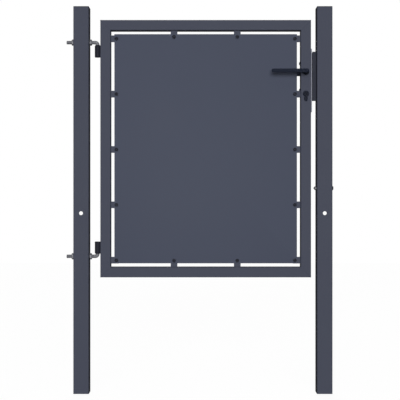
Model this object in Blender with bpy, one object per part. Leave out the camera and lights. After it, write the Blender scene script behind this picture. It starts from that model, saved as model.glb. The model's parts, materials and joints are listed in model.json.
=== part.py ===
"""A single-leaf steel garden gate between two square posts.

The leaf is a mitred square-tube frame with welded tabs that carry a flat sheet panel. It hangs on two
threaded hook bolts and is held shut by a narrow-stile lock with a lever on each side, a spring latch, a dead
bolt and a profile cylinder, against a channel keep on the other post.

Metres, +Z up. The viewer's side is -Y and the hinges are on the left (-X). The origin is on the ground, at
the middle of the whole gate's width and depth.
"""

import math

import bmesh
import bpy
from mathutils import Matrix, Vector

# Fits
TOUCH_GAP = 0.0003        # between faces that touch on the real gate
HOLE_CLEARANCE = 0.0003   # radial, between a shank and its hole
MITRE_GAP = 0.00025       # taken off each mitred end for the weld
SHARP_DEG = 35.0          # edges flatter than this are shaded smooth

# Leaf and posts
LEAF_WIDTH = 0.817
LEAF_HEIGHT = 0.998
POST_HEIGHT = 1.500
LEAF_TOP_DROP = 0.052     # from the posts' tops down to the leaf's top
HINGE_GAP = 0.0435        # between the hinge post and the leaf
LATCH_GAP = 0.022         # between the leaf and the latch post

POST_WIDTH = 0.060
POST_WALL = 0.002
POST_CORNER = 0.003
FRAME_WIDTH = 0.040
FRAME_WALL = 0.002
FRAME_CORNER = 0.003

CAP_THICKNESS = 0.0025
CAP_PLUG_DEPTH = 0.014
CAP_PLUG_WALL = 0.002

POST_HOLE_HEIGHT = 0.699
POST_HOLE_FRONT_RADIUS = 0.0075
POST_HOLE_REAR_RADIUS = 0.015

# Sheet panel and its fixings
PANEL_THICKNESS = 0.002
PANEL_GAP = 0.0142        # all round, to the frame's inner faces
TAB_WIDTH = 0.026
TAB_THICKNESS = 0.004
TAB_BEYOND_BOLT = 0.008
TAB_WELD_DEPTH = 0.001    # how far a tab is set into its tube's wall
TAB_TO_DOME = 0.0007      # the tabs pass this far in front of the lock's domed bolt heads
STILE_TABS = 5
STILE_TAB_END = 0.0148    # from the panel's end to the last tab's centre, before the drop
STILE_TAB_DROP = 0.0027   # the stiles' tabs sit this far low of the panel's middle
STILE_BOLT_INSET = 0.0080  # from the panel's edge
RAIL_BOLT_INSET = 0.0105
PANEL_BOLT_RADIUS = 0.004
PANEL_BOLT_FLATS = 0.013
PANEL_BOLT_HEAD = 0.0053
PANEL_NUT_HEIGHT = 0.0065
PANEL_BOLT_TIP = 0.002

# Hinges
HOOK_ROD_RADIUS = 0.007
HOOK_BEND_RADIUS = 0.010
HOOK_REACH = 0.029        # beyond the post's outer face
HOOK_TIP_CHAMFER = 0.001
HOOK_SIDES = 16
HOOK_BEND_STEPS = 7
UPPER_HOOK_DROP = 0.085   # below the leaf's top
LOWER_HOOK_RISE = 0.0807  # above the leaf's bottom
HINGE_NUT_FLATS = 0.021
HINGE_NUT_HEIGHT = 0.0092
BARREL_RADIUS = 0.0115
BARREL_LENGTH = 0.047
BARREL_END_WALL = 0.004
BARREL_MOUTH_CHAMFER = 0.0025
BARREL_END_CHAMFER = 0.0006
HOOK_PIN_SHORT = 0.004    # the pin stops this far short of the barrel's blind end

# Lock
LEVER_DROP = 0.201        # below the leaf's top
CYLINDER_DROP = 0.085     # lever centre to cylinder centre
FOREND_LENGTH = 0.245
FOREND_WIDTH = 0.024
FOREND_THICKNESS = 0.0040
FOREND_CENTRE_DROP = 0.032  # below the lever
CASE_THICKNESS = 0.016
CASE_PLATE = 0.0012
CASE_ABOVE_LEVER = 0.044
CASE_BELOW_CYLINDER = 0.030
CASE_BACK_GAP = 0.0007    # to the tube's inner wall
SPINDLE_SIDE = 0.008
SPINDLE_HALF_LENGTH = 0.023  # beyond the stile's face
FOLLOWER_RADIUS = 0.009
FOLLOWER_COLLAR_RADIUS = 0.0072
FOLLOWER_HALF_THICKNESS = 0.006
FOLLOWER_ARM_RADIUS = 0.019
FOLLOWER_ARM_HALF_WIDTH = 0.0025
FOLLOWER_ARM_HALF_THICKNESS = 0.0022
FOLLOWER_ARM_LEAN_DEG = 20.0
LATCH_REACH = 0.0115      # beyond the forend's face
LATCH_HALF_THICKNESS = 0.0055
LATCH_LOW = 0.0095        # above the lever centre
LATCH_HIGH = 0.0260
LATCH_REAR = 0.0115       # from the spindle's axis towards the forend
LATCH_NOSE_FLAT = 0.003
LATCH_TAIL_LOW = 0.0205
LATCH_TAIL_HIGH = 0.0250
LATCH_TAIL_HALF_THICKNESS = 0.0025
LATCH_LUG_LOW = 0.0155
LATCH_LUG_FACE = 0.0022
LATCH_LUG_THICKNESS = 0.0032
DEAD_BOLT_LENGTH = 0.0280
DEAD_BOLT_HALF_THICKNESS = 0.005
DEAD_BOLT_ABOVE_CYLINDER = 0.019
DEAD_BOLT_HEIGHT = 0.030
CYLINDER_PROUD = 0.007    # beyond the stile's face, each side
PROFILE_RADIUS = 0.0085
PROFILE_TAIL = 0.010
PROFILE_HEIGHT = 0.033
PLUG_RADIUS = 0.0062
PLUG_PROUD = 0.0005
KEYWAY = (0.0024, 0.0084, 0.008)   # width, height, depth
CAM_RADIUS = 0.0082
CAM_NOSE_RADIUS = 0.015
CAM_NOSE_HALF_WIDTH = 0.0032
CAM_HALF_THICKNESS = 0.0048
CAM_ROOM = 0.0004         # between the cam's faces and the cylinder's body
CAM_NOSE_ROOM = 0.0006    # round the nose's path
CYLINDER_SCREW_DROP = 0.020
CYLINDER_SCREW_SHORT = 0.004  # ends this far past the cylinder's middle plane
LOCK_SCREW_RADIUS = 0.0025
LOCK_SCREW_HEAD_RADIUS = 0.0045
LOCK_SCREW_HEAD = 0.0022
FOREND_SCREW_INSET = 0.010
FOREND_SCREW_LENGTH = 0.012
SPINDLE_HOLE_RADIUS = 0.007
DOME_BOLT_RADIUS = 0.003
DOME_HEAD_RADIUS = 0.0073
DOME_HEAD_HEIGHT = 0.005
DOME_BOLT_HEIGHTS = (0.034, -0.070)  # from the lever centre
DOME_BOLT_LENGTH = 0.006
DOME_FLAT_SHARE = 0.12    # of the quarter turn from a dome's crown, left flat for the driver

# Handles
LEVER_LENGTH = 0.128      # between the centres of its round ends
LEVER_HEIGHT = 0.015
LEVER_THICKNESS = 0.010
LEVER_STANDOFF = 0.037    # from the stile's face to the bar's middle
NECK_RADIUS = 0.009
ROSETTE_RADIUS = 0.01225
ROSETTE_THICKNESS = 0.007
ESCUTCHEON_RADIUS = 0.01175
ESCUTCHEON_TAIL = 0.0135
ESCUTCHEON_HEIGHT = 0.041
ESCUTCHEON_THICKNESS = 0.005

# Keep on the latch post
KEEP_LENGTH = 0.1885
KEEP_CENTRE_DROP = 0.01575  # below the lever
KEEP_HALF_WIDTH = 0.015
KEEP_TO_FOREND = 0.0012
KEEP_WEB = 0.002
KEEP_FLANGE = 0.0025
KEEP_SCREW_INSET = 0.012
KEEP_SCREW_LENGTH = 0.010
KEEP_SCREW_HEAD = 0.0022

# Bolt across the latch post
CROSS_BOLT_HEIGHT = 0.796
CROSS_BOLT_RADIUS = 0.004
CROSS_BOLT_FLATS = 0.013
CROSS_BOLT_HEAD = 0.0062
CROSS_NUT_HEIGHT = 0.0065
CROSS_BOLT_TIP = 0.003

# Places worked out from the sizes
CROSS_BOLT_REACH = CROSS_BOLT_HEAD + TOUCH_GAP
SPAN = 2 * POST_WIDTH + HINGE_GAP + LEAF_WIDTH + LATCH_GAP
HINGE_POST_OUTER = -(SPAN + HOOK_REACH + CROSS_BOLT_REACH) / 2 + HOOK_REACH
HINGE_POST_X = HINGE_POST_OUTER + POST_WIDTH / 2
LEAF_LEFT = HINGE_POST_OUTER + POST_WIDTH + HINGE_GAP
LEAF_RIGHT = LEAF_LEFT + LEAF_WIDTH
LATCH_POST_INNER = LEAF_RIGHT + LATCH_GAP
LATCH_POST_X = LATCH_POST_INNER + POST_WIDTH / 2
LEAF_TOP = POST_HEIGHT - LEAF_TOP_DROP
LEAF_BOTTOM = LEAF_TOP - LEAF_HEIGHT
LEAF_CENTRE = Vector(((LEAF_LEFT + LEAF_RIGHT) / 2, 0.0, (LEAF_TOP + LEAF_BOTTOM) / 2))
PANEL_WIDTH = LEAF_WIDTH - 2 * (FRAME_WIDTH + PANEL_GAP)
PANEL_HEIGHT = LEAF_HEIGHT - 2 * (FRAME_WIDTH + PANEL_GAP)
STILE_TAB_PITCH = (PANEL_HEIGHT - 2 * STILE_TAB_END) / (STILE_TABS - 1)
STILE_TAB_PLACES = [(i - (STILE_TABS - 1) / 2) * STILE_TAB_PITCH - STILE_TAB_DROP
                    for i in range(STILE_TABS)]
RAIL_TAB_PLACES = [side * (LEAF_WIDTH - 2 * FRAME_WIDTH) / 6 for side in (-1, 1)]
TAB_FACE = -(DOME_HEAD_RADIUS + TAB_TO_DOME + TAB_THICKNESS)
HINGE_AXIS_X = LEAF_LEFT - TOUCH_GAP - BARREL_RADIUS
UPPER_HOOK_Z = LEAF_TOP - UPPER_HOOK_DROP
LOWER_HOOK_Z = LEAF_BOTTOM + LOWER_HOOK_RISE
STILE_FACE = FRAME_WIDTH / 2
LEVER_CENTRE = Vector((LEAF_RIGHT - STILE_FACE, 0.0, LEAF_TOP - LEVER_DROP))
CYLINDER_CENTRE = LEVER_CENTRE - Vector((0.0, 0.0, CYLINDER_DROP))
FOREND_BACK = STILE_FACE + TOUCH_GAP   # from the spindle's axis along +X
FOREND_FACE = FOREND_BACK + FOREND_THICKNESS
CASE_BACK = -(STILE_FACE - FRAME_WALL - CASE_BACK_GAP)
CASE_LOW = -(CYLINDER_DROP + CASE_BELOW_CYLINDER)
CASE_HALF = CASE_THICKNESS / 2
DEAD_BOLT_LOW = DEAD_BOLT_ABOVE_CYLINDER - CYLINDER_DROP
CAM_SLOT_HALF = CAM_HALF_THICKNESS + CAM_ROOM
CAM_SLOT_RADIUS = CAM_NOSE_RADIUS + CAM_NOSE_ROOM
DOME_BOLT_FACE = -STILE_FACE - TOUCH_GAP

# Colour, roughness and metallic value of each finish
FINISHES = {
    "anthracite_coat": ((0.070, 0.074, 0.100), 0.55, 0.0),
    "black_coat": ((0.018, 0.018, 0.021), 0.45, 0.0),
    "black_plastic": ((0.022, 0.022, 0.024), 0.50, 0.0),
    "zinc_plate": ((0.62, 0.63, 0.65), 0.32, 1.0),
    "satin_steel": ((0.55, 0.55, 0.56), 0.35, 1.0),
    "nickel_brass": ((0.60, 0.58, 0.52), 0.25, 1.0),
    "black_zinc": ((0.05, 0.05, 0.055), 0.40, 0.6),
}


def clear_scene():
    """Take every object out of the scene."""
    for item in list(bpy.data.objects):
        bpy.data.objects.remove(item, do_unlink=True)


def make_material(node, finish):
    """The material of one node, in the colour, roughness and metallic value of its finish."""
    colour, roughness, metallic = FINISHES[finish]
    material = bpy.data.materials.new(f"{node}_{finish}")
    material.use_nodes = True
    shader = material.node_tree.nodes["Principled BSDF"]
    shader.inputs["Base Color"].default_value = (*colour, 1.0)
    shader.inputs["Roughness"].default_value = roughness
    shader.inputs["Metallic"].default_value = metallic
    material.diffuse_color = (*colour, 1.0)
    return material


# Outlines, as lists of two coordinates

def circle(radius, sides=24, centre=(0.0, 0.0)):
    """Points round a circle."""
    turns = [2 * math.pi * i / sides for i in range(sides)]
    return [(centre[0] + radius * math.cos(a), centre[1] + radius * math.sin(a)) for a in turns]


def hexagon(flats, sides=24):
    """A hexagon of this width across flats, with corners on the first axis, on as many points as a circle."""
    points = []
    for i in range(sides):
        angle = 2 * math.pi * i / sides
        reach = flats / 2 / math.cos(angle % (math.pi / 3) - math.pi / 6)
        points.append((reach * math.cos(angle), reach * math.sin(angle)))
    return points


def rounded_rectangle(width, depth, corner, steps=3):
    """A rectangle about the origin with round corners."""
    points = []
    for quarter, (sx, sy) in enumerate(((1, 1), (-1, 1), (-1, -1), (1, -1))):
        for step in range(steps + 1):
            angle = math.pi / 2 * (quarter + step / steps)
            points.append((sx * (width / 2 - corner) + corner * math.cos(angle),
                           sy * (depth / 2 - corner) + corner * math.sin(angle)))
    return points


def stadium(length, height, steps=8):
    """A bar with round ends: one end's centre is the origin, the other's is at -length on the first axis."""
    radius = height / 2
    points = []
    for centre, start in ((0.0, -math.pi / 2), (-length, math.pi / 2)):
        for step in range(steps + 1):
            angle = start + math.pi * step / steps
            points.append((centre + radius * math.cos(angle), radius * math.sin(angle)))
    return points


def keyhole(radius, tail, height, grow=0.0, steps=20):
    """A circle about the origin with a round-ended tail below it, grown outwards by a clearance."""
    big = radius + grow
    small = tail / 2 + grow
    foot = -(height - radius - tail / 2)
    start = -math.acos(small / big)
    points = []
    for step in range(steps + 1):
        angle = start + (math.pi - 2 * start) * step / steps
        points.append((big * math.cos(angle), big * math.sin(angle)))
    half = steps // 2
    for step in range(half + 1):
        angle = math.pi + math.pi * step / half
        points.append((small * math.cos(angle), foot + small * math.sin(angle)))
    return points


# Solids, as bmeshes

def loft(rings, cyclic=False):
    """Skin a row of closed rings of equal count. The end rings are filled, or joined when cyclic."""
    shape = bmesh.new()
    loops = [[shape.verts.new(point) for point in ring] for ring in rings]
    count = len(loops[0])
    following = loops[1:] + loops[:1] if cyclic else loops[1:]
    for near, far in zip(loops, following):
        for i in range(count):
            j = (i + 1) % count
            shape.faces.new((near[i], near[j], far[j], far[i]))
    if not cyclic:
        shape.faces.new(loops[0])
        shape.faces.new(loops[-1])
    bmesh.ops.recalc_face_normals(shape, faces=shape.faces)
    return shape


def stack(sections, normal="Z", cyclic=False):
    """A solid through outlines at levels along X, Y or Z: sections are (level, outline) from end to end.

    An outline's two coordinates are the other two axes.
    """
    place = {
        "X": lambda p, t: (t, p[0], p[1]),
        "Y": lambda p, t: (p[0], t, p[1]),
        "Z": lambda p, t: (p[0], p[1], t),
    }[normal]
    return loft([[place(point, level) for point in outline] for level, outline in sections], cyclic)


def prism(outline, low, high, normal="Z"):
    """One outline carried from low to high along X, Y or Z."""
    return stack([(low, outline), (high, outline)], normal)


def box(low, high):
    """A block between two corners."""
    (x0, y0, z0), (x1, y1, z1) = low, high
    return prism([(x0, y0), (x1, y0), (x1, y1), (x0, y1)], z0, z1)


def moved(shape, offset):
    """The same bmesh, shifted."""
    bmesh.ops.translate(shape, vec=Vector(offset), verts=shape.verts)
    return shape


def together(shapes):
    """Several bmeshes in one, for use as a single cutter."""
    whole = bmesh.new()
    for shape in shapes:
        mesh = bpy.data.meshes.new("cutter")
        shape.to_mesh(mesh)
        shape.free()
        whole.from_mesh(mesh)
        bpy.data.meshes.remove(mesh)
    return whole


def stand_in(shape):
    """A short-lived object that holds a bmesh for a Boolean."""
    mesh = bpy.data.meshes.new("stand_in")
    shape.to_mesh(mesh)
    shape.free()
    item = bpy.data.objects.new("stand_in", mesh)
    bpy.context.scene.collection.objects.link(item)
    item.hide_render = True
    item.display_type = "WIRE"
    return item


def worked(body, plus=(), minus=()):
    """The mesh of a body with other shapes welded on and then cut out, each set in one Boolean."""
    base = stand_in(body)
    tools = []
    for shapes, operation in ((plus, "UNION"), (minus, "DIFFERENCE")):
        if not shapes:
            continue
        tool = stand_in(together(shapes))
        modifier = base.modifiers.new(operation.title(), "BOOLEAN")
        modifier.operation = operation
        modifier.solver = "EXACT"
        modifier.use_self = True
        modifier.object = tool
        tools.append(tool)
    evaluated = base.evaluated_get(bpy.context.evaluated_depsgraph_get())
    mesh = bpy.data.meshes.new_from_object(evaluated)
    for item in (base, *tools):
        leftover = item.data
        bpy.data.objects.remove(item, do_unlink=True)
        bpy.data.meshes.remove(leftover)
    return mesh


def world_place(item):
    """Where an unturned object stands, added up through its parents."""
    place = Vector((0.0, 0.0, 0.0))
    while item is not None:
        place += item.location
        item = item.parent
    return place


def pivot(name, place, parent=None):
    """An empty on a joint's axis, which carries the pieces that turn about it."""
    item = bpy.data.objects.new(name, None)
    bpy.context.scene.collection.objects.link(item)
    item.parent = parent
    item.location = Vector(place) - world_place(parent)
    return item


def add_part(name, shape, finish, place, parent=None, turn=(0.0, 0.0, 0.0), smooth=True):
    """Add a named piece from a bmesh or a mesh, at a world place, under its parent."""
    if isinstance(shape, bmesh.types.BMesh):
        mesh = bpy.data.meshes.new(name)
        shape.to_mesh(mesh)
        shape.free()
    else:
        mesh = shape
        mesh.name = name
    mesh.materials.clear()
    mesh.materials.append(make_material(name, finish))
    if smooth:
        mesh.shade_smooth()
        mesh.set_sharp_from_angle(angle=math.radians(SHARP_DEG))
    return add_copy(name, mesh, place, parent, turn)


def add_copy(name, mesh, place, parent=None, turn=(0.0, 0.0, 0.0)):
    """Add a named piece that shares a mesh."""
    item = bpy.data.objects.new(name, mesh)
    bpy.context.scene.collection.objects.link(item)
    item.parent = parent
    item.location = Vector(place) - world_place(parent)
    item.rotation_euler = turn
    return item


# Fasteners. Each one stands along its local +Z, with the face it clamps at the origin.

ALONG_X = (0.0, math.pi / 2, 0.0)        # local +Z to world +X
AGAINST_X = (0.0, -math.pi / 2, 0.0)     # local +Z to world -X
ALONG_Y = (-math.pi / 2, 0.0, 0.0)       # local +Z to world +Y


def nut(flats, height, bore, sides=24):
    """A hexagon nut, with its bearing face at the origin."""
    return stack([(0.0, hexagon(flats, sides)), (height, hexagon(flats, sides)),
                  (height, circle(bore, sides)), (0.0, circle(bore, sides))], cyclic=True)


def hex_bolt(flats, head, radius, length, sides=24):
    """A hexagon bolt: the head is below the origin and the shank rises to length."""
    return stack([(-head, hexagon(flats, sides)), (0.0, hexagon(flats, sides)),
                  (0.0, circle(radius, sides)), (length, circle(radius, sides))])


def bolt_with_nut(flats, head, radius, grip, nut_height, tip, sides=12):
    """A hexagon bolt with its nut run up, as one body; the grip lies between head and nut."""
    return stack([(-head, hexagon(flats, sides)), (0.0, hexagon(flats, sides)),
                  (0.0, circle(radius, sides)), (grip, circle(radius, sides)),
                  (grip, hexagon(flats, sides)), (grip + nut_height, hexagon(flats, sides)),
                  (grip + nut_height, circle(radius, sides)),
                  (grip + nut_height + tip, circle(radius, sides))])


def dome_bolt(head_radius, head, radius, length, sides=24, rings=4):
    """A domed head below the origin, an ellipse in section, with a shank that rises to length."""
    sections = []
    for ring in range(rings + 1):
        angle = math.pi / 2 * (DOME_FLAT_SHARE + (1 - DOME_FLAT_SHARE) * ring / rings)
        sections.append((-head * math.cos(angle), circle(head_radius * math.sin(angle), sides)))
    sections += [(0.0, circle(radius, sides)), (length, circle(radius, sides))]
    return stack(sections)


def lock_screw(length, sides=16):
    """A countersunk screw: the face of its head is at the origin and the shank rises to length."""
    return stack([(0.0, circle(LOCK_SCREW_HEAD_RADIUS, sides)),
                  (LOCK_SCREW_HEAD, circle(LOCK_SCREW_RADIUS, sides)),
                  (length, circle(LOCK_SCREW_RADIUS, sides))])


def lock_screw_sink(depth, sides=16):
    """The hole that a countersunk screw sits in, which starts a little above the face at the origin."""
    head = circle(LOCK_SCREW_HEAD_RADIUS + HOLE_CLEARANCE, sides)
    shank = circle(LOCK_SCREW_RADIUS + HOLE_CLEARANCE, sides)
    return stack([(-HOLE_CLEARANCE, head), (0.0, head), (LOCK_SCREW_HEAD, shank), (depth, shank)])


# Posts

def post_shapes(cross_holes):
    """A square tube on the ground, and the cutters of its front-to-back hole and of the bolts across it."""
    outer = rounded_rectangle(POST_WIDTH, POST_WIDTH, POST_CORNER)
    inner = rounded_rectangle(POST_WIDTH - 2 * POST_WALL, POST_WIDTH - 2 * POST_WALL,
                              POST_CORNER - POST_WALL)
    top = POST_HEIGHT - CAP_THICKNESS - TOUCH_GAP
    tube = stack([(0.0, outer), (top, outer), (top, inner), (0.0, inner)], cyclic=True)
    centre = (0.0, POST_HOLE_HEIGHT)
    front = prism(circle(POST_HOLE_FRONT_RADIUS, 24, centre), -POST_WIDTH, 0.0, "Y")
    rear = prism(circle(POST_HOLE_REAR_RADIUS, 24, centre), 0.0, POST_WIDTH, "Y")
    cutters = [front, rear]
    for height, radius in cross_holes:
        cutters.append(prism(circle(radius + HOLE_CLEARANCE, 24, (0.0, height)),
                             -POST_WIDTH, POST_WIDTH, "X"))
    return tube, cutters


def keep_screw_heights():
    """Heights of the two screws that hold the keep to its post."""
    middle = LEVER_CENTRE.z - KEEP_CENTRE_DROP
    reach = KEEP_LENGTH / 2 - KEEP_SCREW_INSET
    return [middle + reach, middle - reach]


def add_posts():
    """Both posts and their caps."""
    tube, cutters = post_shapes([(UPPER_HOOK_Z, HOOK_ROD_RADIUS), (LOWER_HOOK_Z, HOOK_ROD_RADIUS)])
    add_part("hinge_post", worked(tube, minus=cutters), "anthracite_coat", (HINGE_POST_X, 0.0, 0.0))
    tube, cutters = post_shapes([(CROSS_BOLT_HEIGHT, CROSS_BOLT_RADIUS)])
    for height in keep_screw_heights():
        hole = circle(LOCK_SCREW_RADIUS + HOLE_CLEARANCE, 16, (0.0, height))
        cutters.append(prism(hole, -POST_WIDTH, 0.0, "X"))
    add_part("latch_post", worked(tube, minus=cutters), "anthracite_coat", (LATCH_POST_X, 0.0, 0.0))

    plate = rounded_rectangle(POST_WIDTH, POST_WIDTH, POST_CORNER)
    plug_width = POST_WIDTH - 2 * (POST_WALL + TOUCH_GAP)
    plug = rounded_rectangle(plug_width, plug_width, POST_CORNER - POST_WALL)
    hollow_width = plug_width - 2 * CAP_PLUG_WALL
    hollow = rounded_rectangle(hollow_width, hollow_width, POST_CORNER - POST_WALL)
    plug_foot = -CAP_THICKNESS - CAP_PLUG_DEPTH
    for name, x in (("hinge_post_cap", HINGE_POST_X), ("latch_post_cap", LATCH_POST_X)):
        cap = stack([(0.0, plate), (-CAP_THICKNESS, plate), (-CAP_THICKNESS, plug), (plug_foot, plug),
                     (plug_foot, hollow), (-CAP_THICKNESS, hollow)])
        add_part(name, cap, "black_plastic", (x, 0.0, POST_HEIGHT))


# Hinges

def hook_bolt(pin_length, down):
    """A round rod across the post, bent to a pin: rings carried along a line, a quarter turn and a line."""
    bend_x = HINGE_AXIS_X - HOOK_BEND_RADIUS
    start = HINGE_POST_OUTER - HOOK_REACH
    side = -1.0 if down else 1.0
    path = [((start, 0.0), 0.0, HOOK_ROD_RADIUS - HOOK_TIP_CHAMFER),
            ((start + HOOK_TIP_CHAMFER, 0.0), 0.0, HOOK_ROD_RADIUS)]
    for step in range(HOOK_BEND_STEPS + 1):
        turn = math.pi / 2 * step / HOOK_BEND_STEPS
        spot = (bend_x + HOOK_BEND_RADIUS * math.sin(turn),
                side * HOOK_BEND_RADIUS * (1 - math.cos(turn)))
        path.append((spot, turn, HOOK_ROD_RADIUS))
    end = side * (HOOK_BEND_RADIUS + pin_length)
    path.append(((HINGE_AXIS_X, end - side * HOOK_TIP_CHAMFER), math.pi / 2, HOOK_ROD_RADIUS))
    path.append(((HINGE_AXIS_X, end), math.pi / 2, HOOK_ROD_RADIUS - HOOK_TIP_CHAMFER))
    rings = []
    for (x, z), turn, radius in path:
        ring = []
        for across, depth in circle(radius, HOOK_SIDES):
            ring.append((x - across * math.sin(turn), depth, z + side * across * math.cos(turn)))
        rings.append(ring)
    return loft(rings)


def barrel_mesh(opening_up):
    """A turned barrel with a blind bore; its mouth is at the origin, and its body lies below or above."""
    bore = HOOK_ROD_RADIUS + HOLE_CLEARANCE
    side = -1.0 if opening_up else 1.0
    sections = [(BARREL_LENGTH, BARREL_RADIUS - BARREL_END_CHAMFER),
                (BARREL_LENGTH - BARREL_END_CHAMFER, BARREL_RADIUS),
                (BARREL_MOUTH_CHAMFER, BARREL_RADIUS), (0.0, BARREL_RADIUS - BARREL_MOUTH_CHAMFER),
                (0.0, bore), (BARREL_LENGTH - BARREL_END_WALL, bore)]
    return stack([(side * level, circle(radius, 32)) for level, radius in sections])


def add_hinges(leaf):
    """Hook bolts with their nuts in the hinge post, and the barrels on the leaf."""
    pin_length = BARREL_LENGTH - BARREL_END_WALL - HOOK_PIN_SHORT
    inner_face = HINGE_POST_OUTER + POST_WIDTH
    for name, height, down in (("upper", UPPER_HOOK_Z, True), ("lower", LOWER_HOOK_Z, False)):
        add_part(f"{name}_hook_bolt", hook_bolt(pin_length, down), "zinc_plate", (0.0, 0.0, height))
        for side, x, turn in (("outer", HINGE_POST_OUTER - TOUCH_GAP, AGAINST_X),
                              ("inner", inner_face + TOUCH_GAP, ALONG_X)):
            shape = nut(HINGE_NUT_FLATS, HINGE_NUT_HEIGHT, HOOK_ROD_RADIUS + HOLE_CLEARANCE)
            add_part(f"{name}_hinge_nut_{side}", shape, "zinc_plate", (x, 0.0, height), turn=turn)
        mouth = height + (-1.0 if down else 1.0) * (HOOK_BEND_RADIUS + TOUCH_GAP)
        add_part(f"{name}_hinge_barrel", barrel_mesh(down), "black_coat",
                 (HINGE_AXIS_X, 0.0, mouth), parent=leaf)


# Leaf frame and panel

def frame_tube(length, outward, along, places, bolt_inset):
    """A mitred square tube about its own middle, with its tabs welded on: mesh parts and cutters.

    Every ring point's end lies on the mitre: its distance along the tube falls by its distance inwards.
    """
    depth = Vector((0.0, 1.0, 0.0))
    outer = rounded_rectangle(FRAME_WIDTH, FRAME_WIDTH, FRAME_CORNER)
    inner = rounded_rectangle(FRAME_WIDTH - 2 * FRAME_WALL, FRAME_WIDTH - 2 * FRAME_WALL,
                              FRAME_CORNER - FRAME_WALL)
    rings = []
    for outline, side in ((outer, -1), (outer, 1), (inner, 1), (inner, -1)):
        ring = []
        for u, v in outline:
            end = length / 2 - (FRAME_WIDTH / 2 - u) - MITRE_GAP
            ring.append(outward * u + depth * v + along * (side * end))
        rings.append(ring)
    tube = loft(rings, cyclic=True)

    root = -FRAME_WIDTH / 2 + TAB_WELD_DEPTH
    bolt = -FRAME_WIDTH / 2 - PANEL_GAP - bolt_inset
    tip = bolt - TAB_BEYOND_BOLT
    tabs = []
    holes = []
    for place in places:
        corners = [outward * u + along * (place + side * TAB_WIDTH / 2)
                   for u, side in ((tip, -1), (root, -1), (root, 1), (tip, 1))]
        outline = [(corner.x, corner.z) for corner in corners]
        tabs.append(prism(outline, TAB_FACE, TAB_FACE + TAB_THICKNESS, "Y"))
        spot = outward * bolt + along * place
        hole = circle(PANEL_BOLT_RADIUS + HOLE_CLEARANCE, 12, (spot.x, spot.z))
        holes.append(prism(hole, -FRAME_WIDTH / 2, FRAME_WIDTH / 2, "Y"))
    return tube, tabs, holes


def lock_stile_cuts():
    """What is cut out of the lock stile, about its own middle."""
    lever = LEVER_CENTRE - Vector((LEVER_CENTRE.x, 0.0, LEAF_CENTRE.z))
    through = FRAME_WIDTH
    spindle = prism(circle(SPINDLE_HOLE_RADIUS, 24, (0.0, lever.z)), -through, through, "Y")
    profile = keyhole(PROFILE_RADIUS, PROFILE_TAIL, PROFILE_HEIGHT, HOLE_CLEARANCE)
    cylinder = moved(prism(profile, -through, through, "Y"), (0.0, 0.0, lever.z - CYLINDER_DROP))
    slot_half = CASE_HALF + TOUCH_GAP
    slot = box((0.0, -slot_half, lever.z + CASE_LOW - TOUCH_GAP),
               (through, slot_half, lever.z + CASE_ABOVE_LEVER + TOUCH_GAP))
    cuts = [spindle, cylinder, slot]
    for height in DOME_BOLT_HEIGHTS:
        hole = circle(DOME_BOLT_RADIUS + HOLE_CLEARANCE, 16, (0.0, lever.z + height))
        cuts.append(prism(hole, -through, 0.0, "X"))
    for height in forend_screw_heights():
        hole = circle(LOCK_SCREW_RADIUS + HOLE_CLEARANCE, 16, (0.0, lever.z + height))
        cuts.append(prism(hole, 0.0, through, "X"))
    return cuts


def add_frame(leaf):
    """The four mitred tubes of the leaf."""
    right = Vector((1.0, 0.0, 0.0))
    up = Vector((0.0, 0.0, 1.0))
    half_width = (LEAF_WIDTH - FRAME_WIDTH) / 2
    half_height = (LEAF_HEIGHT - FRAME_WIDTH) / 2
    tubes = (
        ("hinge_stile", LEAF_HEIGHT, -right, up, half_width, STILE_TAB_PLACES, STILE_BOLT_INSET, ()),
        ("lock_stile", LEAF_HEIGHT, right, up, half_width, STILE_TAB_PLACES, STILE_BOLT_INSET,
         lock_stile_cuts()),
        ("top_rail", LEAF_WIDTH, up, right, half_height, RAIL_TAB_PLACES, RAIL_BOLT_INSET, ()),
        ("bottom_rail", LEAF_WIDTH, -up, right, half_height, RAIL_TAB_PLACES, RAIL_BOLT_INSET, ()),
    )
    for name, length, outward, along, offset, places, inset, cuts in tubes:
        tube, tabs, holes = frame_tube(length, outward, along, places, inset)
        mesh = worked(tube, plus=tabs, minus=[*holes, *cuts])
        add_part(name, mesh, "anthracite_coat", LEAF_CENTRE + outward * offset, parent=leaf)


def panel_bolt_places():
    """Where the panel's bolts go, from the leaf's middle: (x, z)."""
    side = PANEL_WIDTH / 2 - STILE_BOLT_INSET
    end = PANEL_HEIGHT / 2 - RAIL_BOLT_INSET
    places = [(x, z) for x in (-side, side) for z in reversed(STILE_TAB_PLACES)]
    places += [(x, z) for z in (end, -end) for x in RAIL_TAB_PLACES]
    return places


def add_panel(leaf):
    """The sheet panel, in front of the tabs, and its bolts with their nuts."""
    back = TAB_FACE - TOUCH_GAP
    sheet = box((-PANEL_WIDTH / 2, back - PANEL_THICKNESS, -PANEL_HEIGHT / 2),
                (PANEL_WIDTH / 2, back, PANEL_HEIGHT / 2))
    places = panel_bolt_places()
    holes = [prism(circle(PANEL_BOLT_RADIUS + HOLE_CLEARANCE, 12, place),
                   back - 2 * PANEL_THICKNESS, back + PANEL_THICKNESS, "Y") for place in places]
    add_part("panel", worked(sheet, minus=holes), "anthracite_coat", LEAF_CENTRE, parent=leaf)

    clamp = back - PANEL_THICKNESS - TOUCH_GAP
    grip = TAB_FACE + TAB_THICKNESS + TOUCH_GAP - clamp
    shape = bolt_with_nut(PANEL_BOLT_FLATS, PANEL_BOLT_HEAD, PANEL_BOLT_RADIUS, grip,
                          PANEL_NUT_HEIGHT, PANEL_BOLT_TIP)
    mesh = None
    for number, (x, z) in enumerate(places, 1):
        name = f"panel_bolt_{number:02d}"
        place = LEAF_CENTRE + Vector((x, clamp, z))
        if mesh is None:
            mesh = add_part(name, shape, "black_zinc", place, parent=leaf, turn=ALONG_Y).data
        else:
            add_copy(name, mesh, place, parent=leaf, turn=ALONG_Y)


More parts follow.
